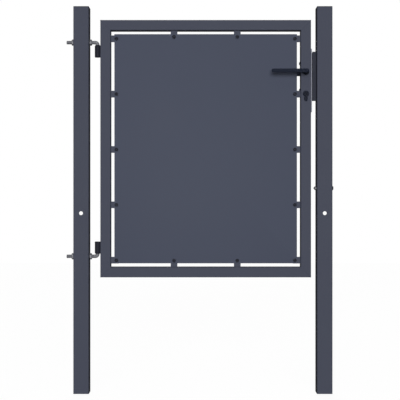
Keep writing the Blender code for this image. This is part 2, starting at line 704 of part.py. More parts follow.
# Lock. Its pieces are modelled about the lever's centre or the cylinder's.

def forend_screw_heights():
    """Heights of the forend's two screws, from the lever centre."""
    reach = FOREND_LENGTH / 2 - FOREND_SCREW_INSET
    return [-FOREND_CENTRE_DROP + reach, -FOREND_CENTRE_DROP - reach]


def profile_cut(grow, half_length):
    """A cutter in the cylinder's profile, about the lever centre."""
    outline = keyhole(PROFILE_RADIUS, PROFILE_TAIL, PROFILE_HEIGHT, grow)
    return moved(prism(outline, -half_length, half_length, "Y"), (0.0, 0.0, -CYLINDER_DROP))


def add_lock_case(leaf):
    """Forend, case, cover and the screws and bolts that hold them."""
    half = FOREND_WIDTH / 2
    low = -FOREND_CENTRE_DROP - FOREND_LENGTH / 2
    plate = box((FOREND_BACK, -half, low), (FOREND_FACE, half, low + FOREND_LENGTH))
    past = FOREND_THICKNESS
    latch_half = LATCH_HALF_THICKNESS + HOLE_CLEARANCE
    bolt_half = DEAD_BOLT_HALF_THICKNESS + HOLE_CLEARANCE
    cuts = [
        box((FOREND_BACK - past, -latch_half, LATCH_LOW - HOLE_CLEARANCE),
            (FOREND_FACE + past, latch_half, LATCH_HIGH + HOLE_CLEARANCE)),
        box((FOREND_BACK - past, -bolt_half, DEAD_BOLT_LOW - HOLE_CLEARANCE),
            (FOREND_FACE + past, bolt_half, DEAD_BOLT_LOW + DEAD_BOLT_HEIGHT + HOLE_CLEARANCE)),
    ]
    screws = [(f"forend_screw_{side}", height, FOREND_SCREW_LENGTH)
              for side, height in zip(("upper", "lower"), forend_screw_heights())]
    long_screw = FOREND_FACE + CYLINDER_SCREW_SHORT
    screws.append(("cylinder_screw", -CYLINDER_DROP - CYLINDER_SCREW_DROP, long_screw))
    for _, height, _ in screws:
        sink = lock_screw_sink(2 * FOREND_THICKNESS)
        bmesh.ops.rotate(sink, cent=(0, 0, 0), matrix=Matrix.Rotation(-math.pi / 2, 3, "Y"),
                         verts=sink.verts)
        cuts.append(moved(sink, (FOREND_FACE, 0.0, height)))
    add_part("lock_forend", worked(plate, minus=cuts), "satin_steel", LEVER_CENTRE, parent=leaf)
    for name, height, length in screws:
        add_part(name, lock_screw(length), "zinc_plate",
                 LEVER_CENTRE + Vector((FOREND_FACE, 0.0, height)), parent=leaf, turn=AGAINST_X)

    right = STILE_FACE - TOUCH_GAP
    rim = -CASE_HALF + CASE_PLATE + TOUCH_GAP
    body = box((CASE_BACK, rim, CASE_LOW), (right, CASE_HALF, CASE_ABOVE_LEVER))
    inside = box((CASE_BACK + CASE_PLATE, -CASE_HALF, CASE_LOW + CASE_PLATE),
                 (right + CASE_PLATE, CASE_HALF - CASE_PLATE, CASE_ABOVE_LEVER - CASE_PLATE))
    collar = FOLLOWER_COLLAR_RADIUS + HOLE_CLEARANCE
    case_cuts = [inside, prism(circle(collar, 32), 0.0, CASE_THICKNESS, "Y"),
                 profile_cut(HOLE_CLEARANCE, CASE_THICKNESS)]
    for height in DOME_BOLT_HEIGHTS:
        hole = circle(DOME_BOLT_RADIUS + HOLE_CLEARANCE, 16, (0.0, height))
        case_cuts.append(prism(hole, CASE_BACK - CASE_PLATE, CASE_BACK + 2 * CASE_PLATE, "X"))
    add_part("lock_case", worked(body, minus=case_cuts), "zinc_plate", LEVER_CENTRE, parent=leaf)
    cover = box((CASE_BACK, -CASE_HALF, CASE_LOW), (right, -CASE_HALF + CASE_PLATE, CASE_ABOVE_LEVER))
    cover_cuts = [prism(circle(collar, 32), -CASE_THICKNESS, 0.0, "Y"),
                  profile_cut(HOLE_CLEARANCE, CASE_THICKNESS)]
    add_part("lock_case_cover", worked(cover, minus=cover_cuts), "zinc_plate", LEVER_CENTRE,
             parent=leaf)

    for side, height in zip(("upper", "lower"), DOME_BOLT_HEIGHTS):
        shape = dome_bolt(DOME_HEAD_RADIUS, DOME_HEAD_HEIGHT, DOME_BOLT_RADIUS, DOME_BOLT_LENGTH)
        add_part(f"lock_dome_bolt_{side}", shape, "black_zinc",
                 LEVER_CENTRE + Vector((DOME_BOLT_FACE, 0.0, height)), parent=leaf, turn=ALONG_X)


def add_bolts(leaf):
    """The spring latch and the dead bolt, which slide in the case."""
    tip = FOREND_FACE + LATCH_REACH
    half = LATCH_HALF_THICKNESS
    nose = tip - (2 * half - LATCH_NOSE_FLAT)
    head = prism([(LATCH_REAR, -half), (tip, -half), (tip, -half + LATCH_NOSE_FLAT), (nose, half),
                  (LATCH_REAR, half)], LATCH_LOW, LATCH_HIGH)
    lug_rear = LATCH_LUG_FACE - LATCH_LUG_THICKNESS
    tail = prism([(lug_rear, LATCH_LUG_LOW), (LATCH_LUG_FACE, LATCH_LUG_LOW),
                  (LATCH_LUG_FACE, LATCH_TAIL_LOW), (LATCH_REAR + LATCH_NOSE_FLAT, LATCH_TAIL_LOW),
                  (LATCH_REAR + LATCH_NOSE_FLAT, LATCH_TAIL_HIGH), (lug_rear, LATCH_TAIL_HIGH)],
                 -LATCH_TAIL_HALF_THICKNESS, LATCH_TAIL_HALF_THICKNESS, "Y")
    add_part("latch_bolt", worked(head, plus=[tail]), "nickel_brass", LEVER_CENTRE, parent=leaf)

    bolt = box((FOREND_FACE - DEAD_BOLT_LENGTH, -DEAD_BOLT_HALF_THICKNESS, DEAD_BOLT_LOW),
               (FOREND_FACE, DEAD_BOLT_HALF_THICKNESS, DEAD_BOLT_LOW + DEAD_BOLT_HEIGHT))
    add_part("dead_bolt", bolt, "nickel_brass", LEVER_CENTRE, parent=leaf, smooth=False)


def add_handle(leaf):
    """Follower, spindle and both levers, which turn together, and the rosettes round the necks."""
    axis = pivot("handle_axis", LEVER_CENTRE, leaf)
    half = SPINDLE_SIDE / 2
    hole_half = half + HOLE_CLEARANCE
    collar = circle(FOLLOWER_COLLAR_RADIUS, 32)
    body = circle(FOLLOWER_RADIUS, 32)
    thick = FOLLOWER_HALF_THICKNESS
    follower = stack([(-CASE_HALF, collar), (-thick, collar), (-thick, body), (thick, body),
                      (thick, collar), (CASE_HALF, collar)], "Y")
    arm = box((-FOLLOWER_ARM_HALF_WIDTH, -FOLLOWER_ARM_HALF_THICKNESS, FOLLOWER_RADIUS / 2),
              (FOLLOWER_ARM_HALF_WIDTH, FOLLOWER_ARM_HALF_THICKNESS, FOLLOWER_ARM_RADIUS))
    bmesh.ops.rotate(arm, cent=(0, 0, 0), verts=arm.verts,
                     matrix=Matrix.Rotation(math.radians(FOLLOWER_ARM_LEAN_DEG), 3, "Y"))
    square = box((-hole_half, -CASE_THICKNESS, -hole_half), (hole_half, CASE_THICKNESS, hole_half))
    add_part("follower", worked(follower, plus=[arm], minus=[square]), "zinc_plate", LEVER_CENTRE,
             parent=axis)
    spindle_end = STILE_FACE + SPINDLE_HALF_LENGTH
    spindle = box((-half, -spindle_end, -half), (half, spindle_end, half))
    add_part("spindle", spindle, "zinc_plate", LEVER_CENTRE, parent=axis, smooth=False)

    for name, side in (("front", -1.0), ("rear", 1.0)):
        base = side * (STILE_FACE + TOUCH_GAP)
        middle = side * (STILE_FACE + LEVER_STANDOFF)
        near = middle - side * LEVER_THICKNESS / 2
        far = middle + side * LEVER_THICKNESS / 2
        bar = prism(stadium(LEVER_LENGTH, LEVER_HEIGHT), near, far, "Y")
        neck = prism(circle(NECK_RADIUS, 32), base, middle, "Y")
        socket_end = side * (spindle_end + 2 * TOUCH_GAP)
        low = min(0.0, socket_end)
        high = max(0.0, socket_end)
        socket = box((-hole_half, low, -hole_half), (hole_half, high, hole_half))
        add_part(f"{name}_lever", worked(bar, plus=[neck], minus=[socket]), "black_coat",
                 LEVER_CENTRE, parent=axis)
        rim = base + side * ROSETTE_THICKNESS
        ring = stack([(base, circle(ROSETTE_RADIUS, 32)), (rim, circle(ROSETTE_RADIUS, 32)),
                      (rim, circle(NECK_RADIUS + HOLE_CLEARANCE, 32)),
                      (base, circle(NECK_RADIUS + HOLE_CLEARANCE, 32))], "Y", cyclic=True)
        add_part(f"{name}_rosette", ring, "black_plastic", LEVER_CENTRE, parent=leaf)


def add_cylinder(leaf):
    """Profile cylinder with its plug and cam, and the escutcheons round it."""
    axis = pivot("cylinder_axis", CYLINDER_CENTRE, leaf)
    end = STILE_FACE + CYLINDER_PROUD
    outline = keyhole(PROFILE_RADIUS, PROFILE_TAIL, PROFILE_HEIGHT)
    bore = prism(circle(PLUG_RADIUS + HOLE_CLEARANCE, 32), -2 * end, 2 * end, "Y")
    room = box((-2 * PROFILE_RADIUS, -CAM_SLOT_HALF, -CAM_SLOT_RADIUS),
               (2 * PROFILE_RADIUS, CAM_SLOT_HALF, 2 * PROFILE_RADIUS))
    screw_hole = prism(circle(LOCK_SCREW_RADIUS + HOLE_CLEARANCE, 16, (0.0, -CYLINDER_SCREW_DROP)),
                       -PROFILE_TAIL, PROFILE_TAIL, "X")
    body = worked(prism(outline, -end, end, "Y"), minus=[bore, room, screw_hole])
    add_part("cylinder_body", body, "nickel_brass", CYLINDER_CENTRE, parent=leaf)

    tip = end + PLUG_PROUD
    width, height, depth = KEYWAY
    keyways = [box((-width / 2, min(near, far), -height / 2), (width / 2, max(near, far), height / 2))
               for near, far in ((-2 * tip, depth - tip), (tip - depth, 2 * tip))]
    plug = worked(prism(circle(PLUG_RADIUS, 32), -tip, tip, "Y"), minus=keyways)
    add_part("cylinder_plug", plug, "nickel_brass", CYLINDER_CENTRE, parent=axis)

    ring = prism(circle(CAM_RADIUS, 32), -CAM_HALF_THICKNESS, CAM_HALF_THICKNESS, "Y")
    nose = box((-CAM_NOSE_HALF_WIDTH, -CAM_HALF_THICKNESS, 0.0),
               (CAM_NOSE_HALF_WIDTH, CAM_HALF_THICKNESS, CAM_NOSE_RADIUS))
    eye = prism(circle(PLUG_RADIUS + HOLE_CLEARANCE, 32), -CAM_RADIUS, CAM_RADIUS, "Y")
    add_part("cylinder_cam", worked(ring, plus=[nose], minus=[eye]), "zinc_plate", CYLINDER_CENTRE,
             parent=axis)

    shield = keyhole(ESCUTCHEON_RADIUS, ESCUTCHEON_TAIL, ESCUTCHEON_HEIGHT)
    window = keyhole(PROFILE_RADIUS, PROFILE_TAIL, PROFILE_HEIGHT, HOLE_CLEARANCE)
    for name, side in (("front", -1.0), ("rear", 1.0)):
        base = side * (STILE_FACE + TOUCH_GAP)
        face = base + side * ESCUTCHEON_THICKNESS
        plate = prism(shield, base, face, "Y")
        hole = prism(window, base - side * ESCUTCHEON_THICKNESS, face + side * ESCUTCHEON_THICKNESS,
                     "Y")
        add_part(f"{name}_escutcheon", worked(plate, minus=[hole]), "black_coat", CYLINDER_CENTRE,
                 parent=leaf)


# Keep and cross bolt on the latch post

def add_keep():
    """A channel that faces the forend, and the two screws through its web."""
    inner = LATCH_POST_INNER
    back = inner - TOUCH_GAP
    mouth = LEVER_CENTRE.x + FOREND_FACE + KEEP_TO_FOREND
    web = back - KEEP_WEB
    half = KEEP_HALF_WIDTH
    clear = half - KEEP_FLANGE
    outline = [(mouth, -half), (back, -half), (back, half), (mouth, half), (mouth, clear),
               (web, clear), (web, -clear), (mouth, -clear)]
    middle = LEVER_CENTRE.z - KEEP_CENTRE_DROP
    channel = prism([(x - back, y) for x, y in outline], -KEEP_LENGTH / 2, KEEP_LENGTH / 2)
    holes = [prism(circle(LOCK_SCREW_RADIUS + HOLE_CLEARANCE, 16, (0.0, height - middle)),
                   -2 * KEEP_WEB, KEEP_WEB, "X") for height in keep_screw_heights()]
    add_part("keep_channel", worked(channel, minus=holes), "black_coat",
             (back, 0.0, middle), smooth=False)
    for side, height in zip(("upper", "lower"), keep_screw_heights()):
        shape = dome_bolt(LOCK_SCREW_HEAD_RADIUS, KEEP_SCREW_HEAD, LOCK_SCREW_RADIUS,
                          KEEP_SCREW_LENGTH, sides=16, rings=3)
        add_part(f"keep_screw_{side}", shape, "black_zinc", (web - TOUCH_GAP, 0.0, height),
                 turn=ALONG_X)


def add_cross_bolt():
    """A bolt across the latch post, its head outside and its nut towards the leaf."""
    outer = LATCH_POST_INNER + POST_WIDTH + TOUCH_GAP
    length = POST_WIDTH + 2 * TOUCH_GAP + CROSS_NUT_HEIGHT + CROSS_BOLT_TIP
    shape = hex_bolt(CROSS_BOLT_FLATS, CROSS_BOLT_HEAD, CROSS_BOLT_RADIUS, length)
    add_part("cross_bolt", shape, "black_zinc", (outer, 0.0, CROSS_BOLT_HEIGHT), turn=AGAINST_X)
    shape = nut(CROSS_BOLT_FLATS, CROSS_NUT_HEIGHT, CROSS_BOLT_RADIUS + HOLE_CLEARANCE)
    add_part("cross_bolt_nut", shape, "black_zinc",
             (LATCH_POST_INNER - TOUCH_GAP, 0.0, CROSS_BOLT_HEIGHT), turn=AGAINST_X)


def main():
    """Build the gate."""
    clear_scene()
    add_posts()
    leaf = pivot("leaf_axis", (HINGE_AXIS_X, 0.0, LEAF_BOTTOM))
    add_hinges(leaf)
    add_frame(leaf)
    add_panel(leaf)
    add_lock_case(leaf)
    add_bolts(leaf)
    add_handle(leaf)
    add_cylinder(leaf)
    add_keep()
    add_cross_bolt()


main()
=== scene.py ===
"""The looks of a steel garden gate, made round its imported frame.

Metres, +Z up. The viewer's side is -Y and the hinges are on the left (-X). Places and most sizes are read
from the boxes of the frame's nodes; the rest are the fields of each sub-assembly's class.
"""

import json
import logging
import math
from collections.abc import Iterable
from dataclasses import dataclass, field
from enum import Enum

import bpy
import numpy as np
from numpy.typing import NDArray
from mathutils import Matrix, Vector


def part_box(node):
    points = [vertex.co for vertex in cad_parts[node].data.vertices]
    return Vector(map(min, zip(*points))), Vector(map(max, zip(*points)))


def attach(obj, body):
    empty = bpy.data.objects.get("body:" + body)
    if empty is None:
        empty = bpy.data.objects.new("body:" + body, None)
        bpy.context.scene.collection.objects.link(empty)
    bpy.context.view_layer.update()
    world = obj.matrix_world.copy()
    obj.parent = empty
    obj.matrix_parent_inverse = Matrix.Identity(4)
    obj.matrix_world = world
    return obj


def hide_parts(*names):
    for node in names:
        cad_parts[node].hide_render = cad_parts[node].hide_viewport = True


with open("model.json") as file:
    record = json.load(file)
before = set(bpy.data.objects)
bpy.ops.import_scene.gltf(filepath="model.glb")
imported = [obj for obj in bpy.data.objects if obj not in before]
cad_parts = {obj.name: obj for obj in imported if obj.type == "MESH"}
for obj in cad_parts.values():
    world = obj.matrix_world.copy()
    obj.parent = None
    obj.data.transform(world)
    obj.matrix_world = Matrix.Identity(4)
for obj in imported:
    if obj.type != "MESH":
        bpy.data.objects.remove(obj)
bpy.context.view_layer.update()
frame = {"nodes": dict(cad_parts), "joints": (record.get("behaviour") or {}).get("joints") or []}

Array = NDArray[np.float64]
LOG = logging.getLogger("garden_gate")
MM = 0.001
FIT_GAP = 0.3 * MM  # between pieces that touch or slide on the real gate
DEPTH_AXIS = np.array([0.0, 1.0, 0.0])


# Places


@dataclass(frozen=True)
class Block:
    """The box of a node at rest: its lowest and highest corners."""

    low: Array
    high: Array

    @property
    def size(self) -> Array:
        """Edge lengths."""
        return self.high - self.low

    @property
    def centre(self) -> Array:
        """Middle point."""
        return (self.low + self.high) / 2

    def at(self, **places: float) -> Array:
        """The middle point with some of its coordinates set.

        Args:
            places: x, y or z, and its value.

        Returns:
            The point.
        """
        return np.array([places.get(axis, middle) for axis, middle in zip("xyz", self.centre)])


def block(node: str) -> Block:
    """The box of one node.

    Args:
        node: Name of a node of the frame.

    Returns:
        Its box at rest.
    """
    low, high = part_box(node)
    return Block(np.array(low), np.array(high))


def pivot(joint: str) -> Array:
    """A point on a hinge's axis.

    Args:
        joint: Name of a hinge of the frame.

    Returns:
        The point, at rest.
    """
    found = next(item for item in frame["joints"] if item["name"] == joint)
    return np.array(found["pos_m"], float)


class Way(Enum):
    """The direction that a stacked shape rises in."""

    LEFT = (-1.0, 0.0, 0.0)
    RIGHT = (1.0, 0.0, 0.0)
    FRONT = (0.0, -1.0, 0.0)
    REAR = (0.0, 1.0, 0.0)
    UP = (0.0, 0.0, 1.0)
    DOWN = (0.0, 0.0, -1.0)


class Face(Enum):
    """A side of the leaf, by the sign of its Y."""

    FRONT = -1.0
    REAR = 1.0

    @property
    def word(self) -> str:
        """The side's word in the nodes' names."""
        return self.name.lower()

    @property
    def way(self) -> Way:
        """The direction that the side looks in."""
        return Way[self.name]

    def ends(self, old: Block) -> tuple[float, float]:
        """Where a box on this side starts along Y, and where it ends, farthest from the leaf."""
        return (old.high[1], old.low[1]) if self is Face.FRONT else (old.low[1], old.high[1])


class Level(Enum):
    """A hinge, by the direction that its hook's pin points in along Z."""

    UPPER = -1.0
    LOWER = 1.0

    @property
    def word(self) -> str:
        """The hinge's word in the nodes' names."""
        return self.name.lower()


# Loops: closed outlines as arrays of points, two coordinates each


def circle(radius: float, sides: int = 48) -> Array:
    """A circle: (r cos t, r sin t) for t round a turn.

    Args:
        radius: Its radius.
        sides: How many points.

    Returns:
        The loop, sides by 2.
    """
    turn = np.arange(sides) * 2 * np.pi / sides
    return radius * np.stack([np.cos(turn), np.sin(turn)], axis=1)


def hexagon(flats: float, limit: float = math.inf, sides: int = 48) -> Array:
    """A hexagon with corners on the first axis, cut to a circle where it would pass it.

    The reach at angle t is half the flats over cos(t mod 60 - 30 degrees), or the limit if that is less. The
    angle gets a billionth more, so that a corner isn't rounded down into the side before it.

    Args:
        flats: Width across flats.
        limit: Largest reach.
        sides: How many points, a multiple of 12 so that corners are met.

    Returns:
        The loop, sides by 2.
    """
    turn = np.arange(sides) * 2 * np.pi / sides
    reach = flats / 2 / np.cos(np.mod(turn + 1e-9, np.pi / 3) - np.pi / 6)
    reach = np.minimum(reach, limit)
    return reach[:, None] * np.stack([np.cos(turn), np.sin(turn)], axis=1)


def arc(centre: tuple[float, float], radius: float, start: float, end: float, steps: int) -> Array:
    """Points on an arc: centre + r (cos t, sin t), with t from start to end.

    Args:
        centre: Middle of the circle.
        radius: Its radius.
        start: First angle.
        end: Last angle.
        steps: How many stretches.

    Returns:
        The points, steps + 1 by 2.
    """
    turn = np.linspace(start, end, steps + 1)
    return np.array(centre) + radius * np.stack([np.cos(turn), np.sin(turn)], axis=1)


def rounded_rectangle(width: float, depth: float, corner: float, steps: int = 6) -> Array:
    """A rectangle about the origin with round corners: four quarter arcs.

    Args:
        width: Along the first axis.
        depth: Along the second.
        corner: Corner radius.
        steps: Stretches in each corner.

    Returns:
        The loop.
    """
    across, up = width / 2 - corner, depth / 2 - corner
    centres = ((across, up), (-across, up), (-across, -up), (across, -up))
    quarters = [arc(centre, corner, i * np.pi / 2, (i + 1) * np.pi / 2, steps)
                for i, centre in enumerate(centres)]
    return np.concatenate(quarters)


def stadium(length: float, radius: float, steps: int = 20) -> Array:
    """A bar with round ends, from the origin's round end to the one at -length on the first axis.

    Args:
        length: Between the ends' centres.
        radius: Of the ends.
        steps: Stretches in each end.

    Returns:
        The loop.
    """
    return np.concatenate([arc((0.0, 0.0), radius, -np.pi / 2, np.pi / 2, steps),
                           arc((-length, 0.0), radius, np.pi / 2, 3 * np.pi / 2, steps)])


def keyhole(radius: float, tail: float, height: float, grow: float = 0.0, steps: int = 40) -> Array:
    """A circle about the origin over a round-ended tail, with its outline moved outwards by an amount.

    Args:
        radius: Of the circle.
        tail: Width of the tail.
        height: Overall.
        grow: How far out the outline is moved.
        steps: Stretches in the circle.

    Returns:
        The loop.
    """
    big, small = radius + grow, tail / 2 + grow
    start = -math.acos(small / big)
    foot = -(height - radius - tail / 2)
    return np.concatenate([arc((0.0, 0.0), big, start, np.pi - start, steps),
                           arc((0.0, foot), small, np.pi, 2 * np.pi, steps // 2)])


def filleted(corners: Iterable[tuple[float, float, float]], closed: bool = False, steps: int = 5) -> Array:
    """A line through corners, each rounded to its own radius.

    A corner's arc touches both of its lines at radius / tan(half the angle) from the corner.

    Args:
        corners: (first coordinate, second coordinate, radius) of each.
        closed: Whether the last corner leads back to the first.
        steps: Stretches in each arc.

    Returns:
        The points.
    """
    table = np.array(list(corners))
    spots, radii = table[:, :2], table[:, 2]
    count = len(spots)
    runs = []
    for i, (spot, radius) in enumerate(zip(spots, radii)):
        if radius <= 0 or (not closed and i in (0, count - 1)):
            runs.append(spot[None])
            continue
        back = spots[i - 1] - spot
        ahead = spots[(i + 1) % count] - spot
        back, ahead = back / np.linalg.norm(back), ahead / np.linalg.norm(ahead)
        half = math.acos(float(np.clip(back @ ahead, -1, 1))) / 2
        middle = back + ahead
        centre = spot + middle / np.linalg.norm(middle) * radius / math.sin(half)
        first = back * radius / math.tan(half) + spot - centre
        last = ahead * radius / math.tan(half) + spot - centre
        share = np.linspace(0, 1, steps + 1)[:, None]
        bend = math.acos(float(np.clip(first @ last / radius ** 2, -1, 1)))
        spokes = np.sin((1 - share) * bend) * first + np.sin(share * bend) * last
        runs.append(centre + spokes / math.sin(bend))
    return np.concatenate(runs)


# Surfaces


@dataclass
class Skin:
    """A closed surface as a grid: rows of closed loops, with its end rows filled, or joined to each other."""

    points: Array
    joined: bool = False

    def faces(self) -> list[list[int]]:
        """Quads between neighbouring rows, and the filled ends."""
        rows, sides = self.points.shape[:2]
        row = np.arange(rows if self.joined else rows - 1)[:, None]
        side = np.arange(sides)[None, :]
        row_after, side_after = (row + 1) % rows, (side + 1) % sides
        quads = np.stack([row * sides + side, row * sides + side_after,
                          row_after * sides + side_after, row_after * sides + side], axis=-1)
        faces = quads.reshape(-1, 4).tolist()
        if not self.joined:
            faces.append(list(range(sides - 1, -1, -1)))
            faces.append(list(range((rows - 1) * sides, rows * sides)))
        return faces if self.volume() > 0 else [face[::-1] for face in faces]

    def volume(self) -> float:
        """Signed volume: the sum of a . (b x c) / 6 over the triangles of quads and filled ends."""
        grid = self.points - self.points.mean(axis=(0, 1))
        if self.joined:
            near, far = grid, np.roll(grid, -1, axis=0)
        else:
            near, far = grid[:-1], grid[1:]
        near_after, far_after = np.roll(near, -1, axis=1), np.roll(far, -1, axis=1)
        total = np.einsum("rsi,rsi->", near, np.cross(near_after, far_after))
        total += np.einsum("rsi,rsi->", near, np.cross(far_after, far))
        if not self.joined:
            for loop, sign in ((grid[0], -1.0), (grid[-1], 1.0)):
                middle = loop.mean(axis=0)
                total += sign * float(np.cross(loop, np.roll(loop, -1, axis=0)).sum(axis=0) @ middle)
        return float(total) / 6


def stacked(origin: Array, way: Way, rows: Iterable[tuple[float, Array]], joined: bool = False) -> Skin:
    """A surface through loops at levels along a direction.

    A loop's point (a, b) at level c stands at origin + a across + b depth + c along, with across upright
    where it can be, so that a hexagon has its corners up and down.

    Args:
        origin: Where level 0 is.
        way: The direction of rising levels.
        rows: (level, loop) from one end to the other.
        joined: Whether the last row joins the first.

    Returns:
        The surface.
    """
    along = np.array(way.value)
    across = np.array([1.0, 0.0, 0.0]) if abs(along[2]) > 0.5 else np.array([0.0, 0.0, 1.0])
    depth = np.cross(along, across)
    levels, loops = zip(*rows)
    grid = np.stack(loops)
    points = (np.asarray(origin) + grid[..., :1] * across + grid[..., 1:] * depth
              + np.array(levels)[:, None, None] * along)
    return Skin(points, joined)


def turned(origin: Array, way: Way, profile: Array, joined: bool = False, sides: int = 48) -> Skin:
    """A profile turned about an axis: each (level, radius) becomes a circle.

    Args:
        origin: Where level 0 is.
        way: The direction of rising levels.
        profile: Levels and radii, n by 2.
        joined: Whether the profile is a closed ring's.
        sides: Points round the axis.

    Returns:
        The surface.
    """
    ring = circle(1.0, sides)
    return stacked(origin, way, [(level, radius * ring) for level, radius in profile], joined)


def slab(origin: Array, rows: Iterable[tuple[float, Array]]) -> Skin:
    """A surface through upright loops, each facing the viewer: (a, b) at level c is (a, c, b).

    Args:
        origin: Where (0, 0) at level 0 is.
        rows: (level along +Y, loop) from one end to the other.

    Returns:
        The surface.
    """
    levels, loops = zip(*rows)
    grid = np.stack(loops)
    depth = np.broadcast_to(np.array(levels)[:, None], grid.shape[:2])
    return Skin(np.asarray(origin) + np.stack([grid[..., 0], depth, grid[..., 1]], axis=-1))


def swept(path: Array, ahead: Array, side: Array, reach: Array) -> Skin:
    """A surface carried along a path that lies in one plane.

    The point at angle t in row i is path + reach (cos t normal + sin t side), where the normal is the side
    crossed with the direction ahead.

    Args:
        path: Places of the rows, n by 3.
        ahead: Unit directions of the path, n by 3.
        side: Unit direction at right angles to the plane.
        reach: Distance from the path, n by sides.

    Returns:
        The surface.
    """
    normal = np.cross(side, ahead)
    turn = np.arange(reach.shape[1]) * 2 * np.pi / reach.shape[1]
    spokes = np.cos(turn)[None, :, None] * normal[:, None] + np.sin(turn)[None, :, None] * side
    return Skin(path[:, None] + reach[..., None] * spokes)


def eased(low: float, high: float, radius: float, steps: int = 4) -> list[tuple[float, float]]:
    """Levels and insets of a thickness whose two edges are rounded over to a radius.

    Args:
        low: First face's level.
        high: Last face's level.
        radius: Of the edges.
        steps: Stretches in each edge.

    Returns:
        (level, inset) from low to high.
    """
    turn = np.linspace(0, np.pi / 2, steps + 1)
    rise, inset = radius * (1 - np.cos(turn)), radius * (1 - np.sin(turn))
    sign = 1.0 if high > low else -1.0
    first = [(low + sign * float(r), float(i)) for r, i in zip(rise, inset)]
    return first + [(high - sign * float(r), float(i)) for r, i in zip(rise[::-1], inset[::-1])]


def linked(name: str, data: bpy.types.ID) -> bpy.types.Object:
    """Put a mesh, a light or a camera into the scene.

    Args:
        name: Of its object.
        data: What the object shows.

    Returns:
        The object, at the origin.
    """
    item = bpy.data.objects.new(name, data)
    bpy.context.scene.collection.objects.link(item)
    return item


def piece(name: str, skins: Iterable[Skin], finish: "Finish", body: str,
          replaces: Iterable[str] = (), sharp_deg: float = 38.0) -> None:
    """Make one finished piece: its mesh, its finish, the body it moves with and the nodes it stands for.

    Args:
        name: Of the piece.
        skins: Its closed surfaces.
        finish: Its finish.
        body: The body it rides on.
        replaces: Nodes that it stands for.
        sharp_deg: Edges flatter than this are shaded smooth.
    """
    points: list[Array] = []
    faces: list[list[int]] = []
    start = 0
    for skin in skins:
        flat = skin.points.reshape(-1, 3)
        faces += [[start + spot for spot in face] for face in skin.faces()]
        points.append(flat)
        start += len(flat)
    mesh = bpy.data.meshes.new(name)
    mesh.from_pydata(np.concatenate(points).tolist(), [], faces)
    mesh.materials.append(finish.material())
    mesh.shade_smooth()
    mesh.set_sharp_from_angle(angle=math.radians(sharp_deg))
    item = linked(name, mesh)
    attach(item, body)
    nodes = list(replaces)
    if nodes:
        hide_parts(*nodes)
    LOG.info("%s: %d faces on %s", name, len(faces), body)


# Finishes


def linear(colour: str) -> tuple[float, float, float, float]:
    """An sRGB hex colour as linear light.

    Args:
        colour: "#rrggbb".

    Returns:
        Linear red, green, blue and 1.
    """
    parts = [int(colour[i:i + 2], 16) / 255 for i in (1, 3, 5)]
    red, green, blue = (p / 12.92 if p <= 0.04045 else ((p + 0.055) / 1.055) ** 2.4 for p in parts)
    return red, green, blue, 1.0


def add_node(tree: bpy.types.NodeTree, kind: str, inputs: dict[str | int, object] | None = None,
             **settings: object) -> bpy.types.Node:
    """Add a shader node.

    Args:
        tree: Where it goes.
        kind: The node's type, such as ShaderNodeBump.
        inputs: Socket name or number to a value, or to the output socket that feeds it.
        settings: The node's own properties.

    Returns:
        The node.
    """
    node = tree.nodes.new(kind)
    for key, value in settings.items():
        setattr(node, key, value)
    for key, value in (inputs or {}).items():
        if isinstance(value, bpy.types.NodeSocket):
            tree.links.new(value, node.inputs[key])
        else:
            node.inputs[key].default_value = value
    return node


# Most of a noise pattern's values lie between these.
NOISE_LOW = 0.3
NOISE_HIGH = 0.7


@dataclass(frozen=True)
class Finish:
    """A surface finish: an even colour that drifts a little, with a fine relief.

    Attributes:
        name: What the finish is.
        colour: Its sRGB colour.
        drift_colour: The colour it drifts to in places.
        drift_size: Size of the patches of drift.
        roughness: Least roughness.
        roughness_more: What the patches add to it.
        metallic: 1 for bare or plated metal.
        grain_size: Spacing of the relief.
        grain_depth: Height of the relief.
        stretch: How much longer the relief is along each axis, for brushed or drawn surfaces.
        ior: Of the coat or plastic; a metal keeps the default.
    """

    name: str
    colour: str
    drift_colour: str
    drift_size: float = 60 * MM
    roughness: float = 0.4
    roughness_more: float = 0.08
    metallic: float = 0.0
    grain_size: float = 1.0 * MM
    grain_depth: float = 0.01 * MM
    stretch: tuple[float, float, float] = (1.0, 1.0, 1.0)
    ior: float = 1.5

    def material(self) -> bpy.types.Material:
        """The material, made once and then shared."""
        known = bpy.data.materials.get(self.name)
        if known is not None:
            return known
        material = bpy.data.materials.new(self.name)
        material.use_nodes = True
        tree = material.node_tree
        shader = tree.nodes["Principled BSDF"]
        where = add_node(tree, "ShaderNodeTexCoord").outputs["Object"]
        patches = add_node(tree, "ShaderNodeTexNoise",
                           {"Vector": where, "Scale": 1 / self.drift_size, "Detail": 3.0, "Roughness": 0.55})
        mix = add_node(tree, "ShaderNodeMix", {0: patches.outputs["Fac"], 6: linear(self.colour),
                                               7: linear(self.drift_colour)}, data_type="RGBA")
        tree.links.new(mix.outputs[2], shader.inputs["Base Color"])
        gloss = add_node(tree, "ShaderNodeMapRange",
                         {"Value": patches.outputs["Fac"], "From Min": NOISE_LOW, "From Max": NOISE_HIGH,
                          "To Min": self.roughness, "To Max": self.roughness + self.roughness_more})
        tree.links.new(gloss.outputs["Result"], shader.inputs["Roughness"])
        squeezed = add_node(tree, "ShaderNodeMapping",
                            {"Vector": where, "Scale": tuple(1 / part for part in self.stretch)})
        grain = add_node(tree, "ShaderNodeTexNoise",
                         {"Vector": squeezed.outputs["Vector"], "Scale": 1 / self.grain_size, "Detail": 2.0})
        relief = add_node(tree, "ShaderNodeBump",
                          {"Height": grain.outputs["Fac"], "Strength": 1.0, "Distance": self.grain_depth})
        tree.links.new(relief.outputs["Normal"], shader.inputs["Normal"])
        shader.inputs["Metallic"].default_value = self.metallic
        if self.metallic == 0.0:
            shader.inputs["IOR"].default_value = self.ior
        return material


